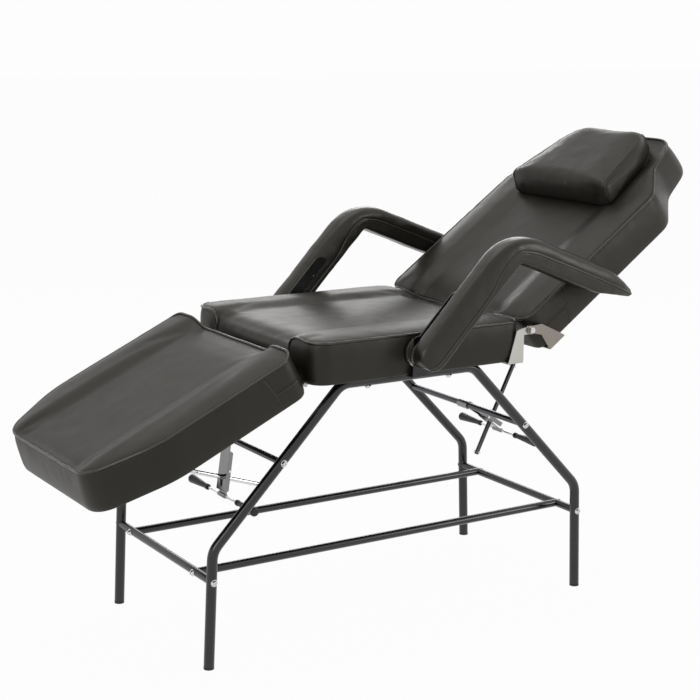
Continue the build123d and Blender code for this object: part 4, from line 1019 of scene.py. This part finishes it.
# Camera
cam_data = bpy.data.cameras.new("camera")
cam = bpy.data.objects.new("camera", cam_data)
bpy.context.scene.collection.objects.link(cam)
cam_data.lens = 83.265
cam_data.sensor_width = 36
cam_data.clip_start, cam_data.clip_end = 0.05, 100
right = Vector((0.8460, -0.5332, 0.0097)).normalized()
behind = Vector((-0.5235, -0.8268, 0.2057)).normalized()
above = behind.cross(right).normalized()
right = above.cross(behind).normalized()
place = (-2.16391 + SHIFT, -3.40105, 1.50071)
cam.matrix_world = Matrix([*zip(right, above, behind, place), (0, 0, 0, 1)])
bpy.context.scene.camera = cam
bpy.context.scene.view_settings.view_transform = "Standard"


# Floor and world: plain light on the chair, and a white background where a ray sees them
FLOOR_HALF, FLOOR_DOWN = 30, -0.0005


def seen_rays(tree):
    """One for rays that show the background: seen, mirrored or through glass."""
    path = tree.nodes.new("ShaderNodeLightPath")
    total = path.outputs["Is Camera Ray"]
    for name in ("Is Glossy Ray", "Is Transmission Ray"):
        most = tree.nodes.new("ShaderNodeMath")
        most.operation = "MAXIMUM"
        tree.links.new(total, most.inputs[0])
        tree.links.new(path.outputs[name], most.inputs[1])
        total = most.outputs[0]
    return total


def blend_rays(tree, share, lit, shown, kind):
    """Sends lit to the output, and shown instead of it where share is one."""
    mix = tree.nodes.new("ShaderNodeMixShader")
    tree.links.new(share, mix.inputs[0])
    tree.links.new(lit.outputs[0], mix.inputs[1])
    tree.links.new(shown.outputs[0], mix.inputs[2])
    tree.links.new(mix.outputs[0], tree.nodes.new(kind).inputs[0])


floor_mesh = bpy.data.meshes.new("floor")
floor_mesh.from_pydata([(x * FLOOR_HALF, y * FLOOR_HALF, FLOOR_DOWN)
                        for x, y in ((-1, -1), (1, -1), (1, 1), (-1, 1))], [], [(0, 1, 2, 3)])
floor = bpy.data.objects.new("floor", floor_mesh)
bpy.context.scene.collection.objects.link(floor)
floor_mat = bpy.data.materials.new("pale_floor")
floor_mat.use_nodes = True
tree = floor_mat.node_tree
tree.nodes.clear()
diffuse = tree.nodes.new("ShaderNodeBsdfDiffuse")
diffuse.inputs[0].default_value = (0.86, 0.86, 0.86, 1)
glow = tree.nodes.new("ShaderNodeEmission")
glow.inputs[0].default_value = (1, 1, 1, 1)
share = tree.nodes.new("ShaderNodeMath")
share.operation = "MULTIPLY"
share.inputs[1].default_value = 0.97
tree.links.new(seen_rays(tree), share.inputs[0])
blend_rays(tree, share.outputs[0], diffuse, glow, "ShaderNodeOutputMaterial")
floor_mesh.materials.append(floor_mat)

world = bpy.data.worlds.new("studio")
bpy.context.scene.world = world
world.use_nodes = True
tree = world.node_tree
tree.nodes.clear()
white = tree.nodes.new("ShaderNodeBackground")
white.inputs[0].default_value = (0.985, 0.985, 0.985, 1)
light = tree.nodes.new("ShaderNodeBackground")
sky = tree.nodes.new("ShaderNodeTexCoord")
toward = tree.nodes.new("ShaderNodeVectorMath")
toward.operation = "DOT_PRODUCT"
toward.inputs[1].default_value = (0.52, 0.83, 0.15)
tree.links.new(sky.outputs["Generated"], toward.inputs[0])
half = tree.nodes.new("ShaderNodeMath")
half.operation = "MULTIPLY_ADD"
half.inputs[1].default_value = 0.5
half.inputs[2].default_value = 0.5
tree.links.new(toward.outputs["Value"], half.inputs[0])
stops = [(0.15, (0.06, 0.06, 0.062, 1)), (0.95, (0.46, 0.45, 0.44, 1))]
tree.links.new(ramp(tree, half.outputs[0], stops), light.inputs[0])
blend_rays(tree, seen_rays(tree), light, white, "ShaderNodeOutputWorld")


# Lamps
def lamp(name, where, target, width, height, power):
    """A soft rectangular light, turned from where it is towards a target."""
    data = bpy.data.lights.new(name, "AREA")
    data.shape = "RECTANGLE"
    data.size, data.size_y = width, height
    data.energy = power
    obj = bpy.data.objects.new(name, data)
    bpy.context.scene.collection.objects.link(obj)
    obj.location = where
    obj.rotation_mode = "QUATERNION"
    obj.rotation_quaternion = (Vector(target) - Vector(where)).to_track_quat("-Z", "Y")


lamp("overhead", (-0.3, 0.6, 3.4), (0, 0, 0.6), 2.4, 1.6, 15)
lamp("left_front", (-3.2, -1.6, 2.4), (0, 0, 0.6), 1.2, 1.8, 26)
lamp("right_front", (2.6, -2.8, 1.8), (0, 0, 0.6), 1.0, 1.6, 26)
lamp("behind", (2.3, 3.7, 2.1), (0, 0, 0.7), 2.6, 0.7, 26)
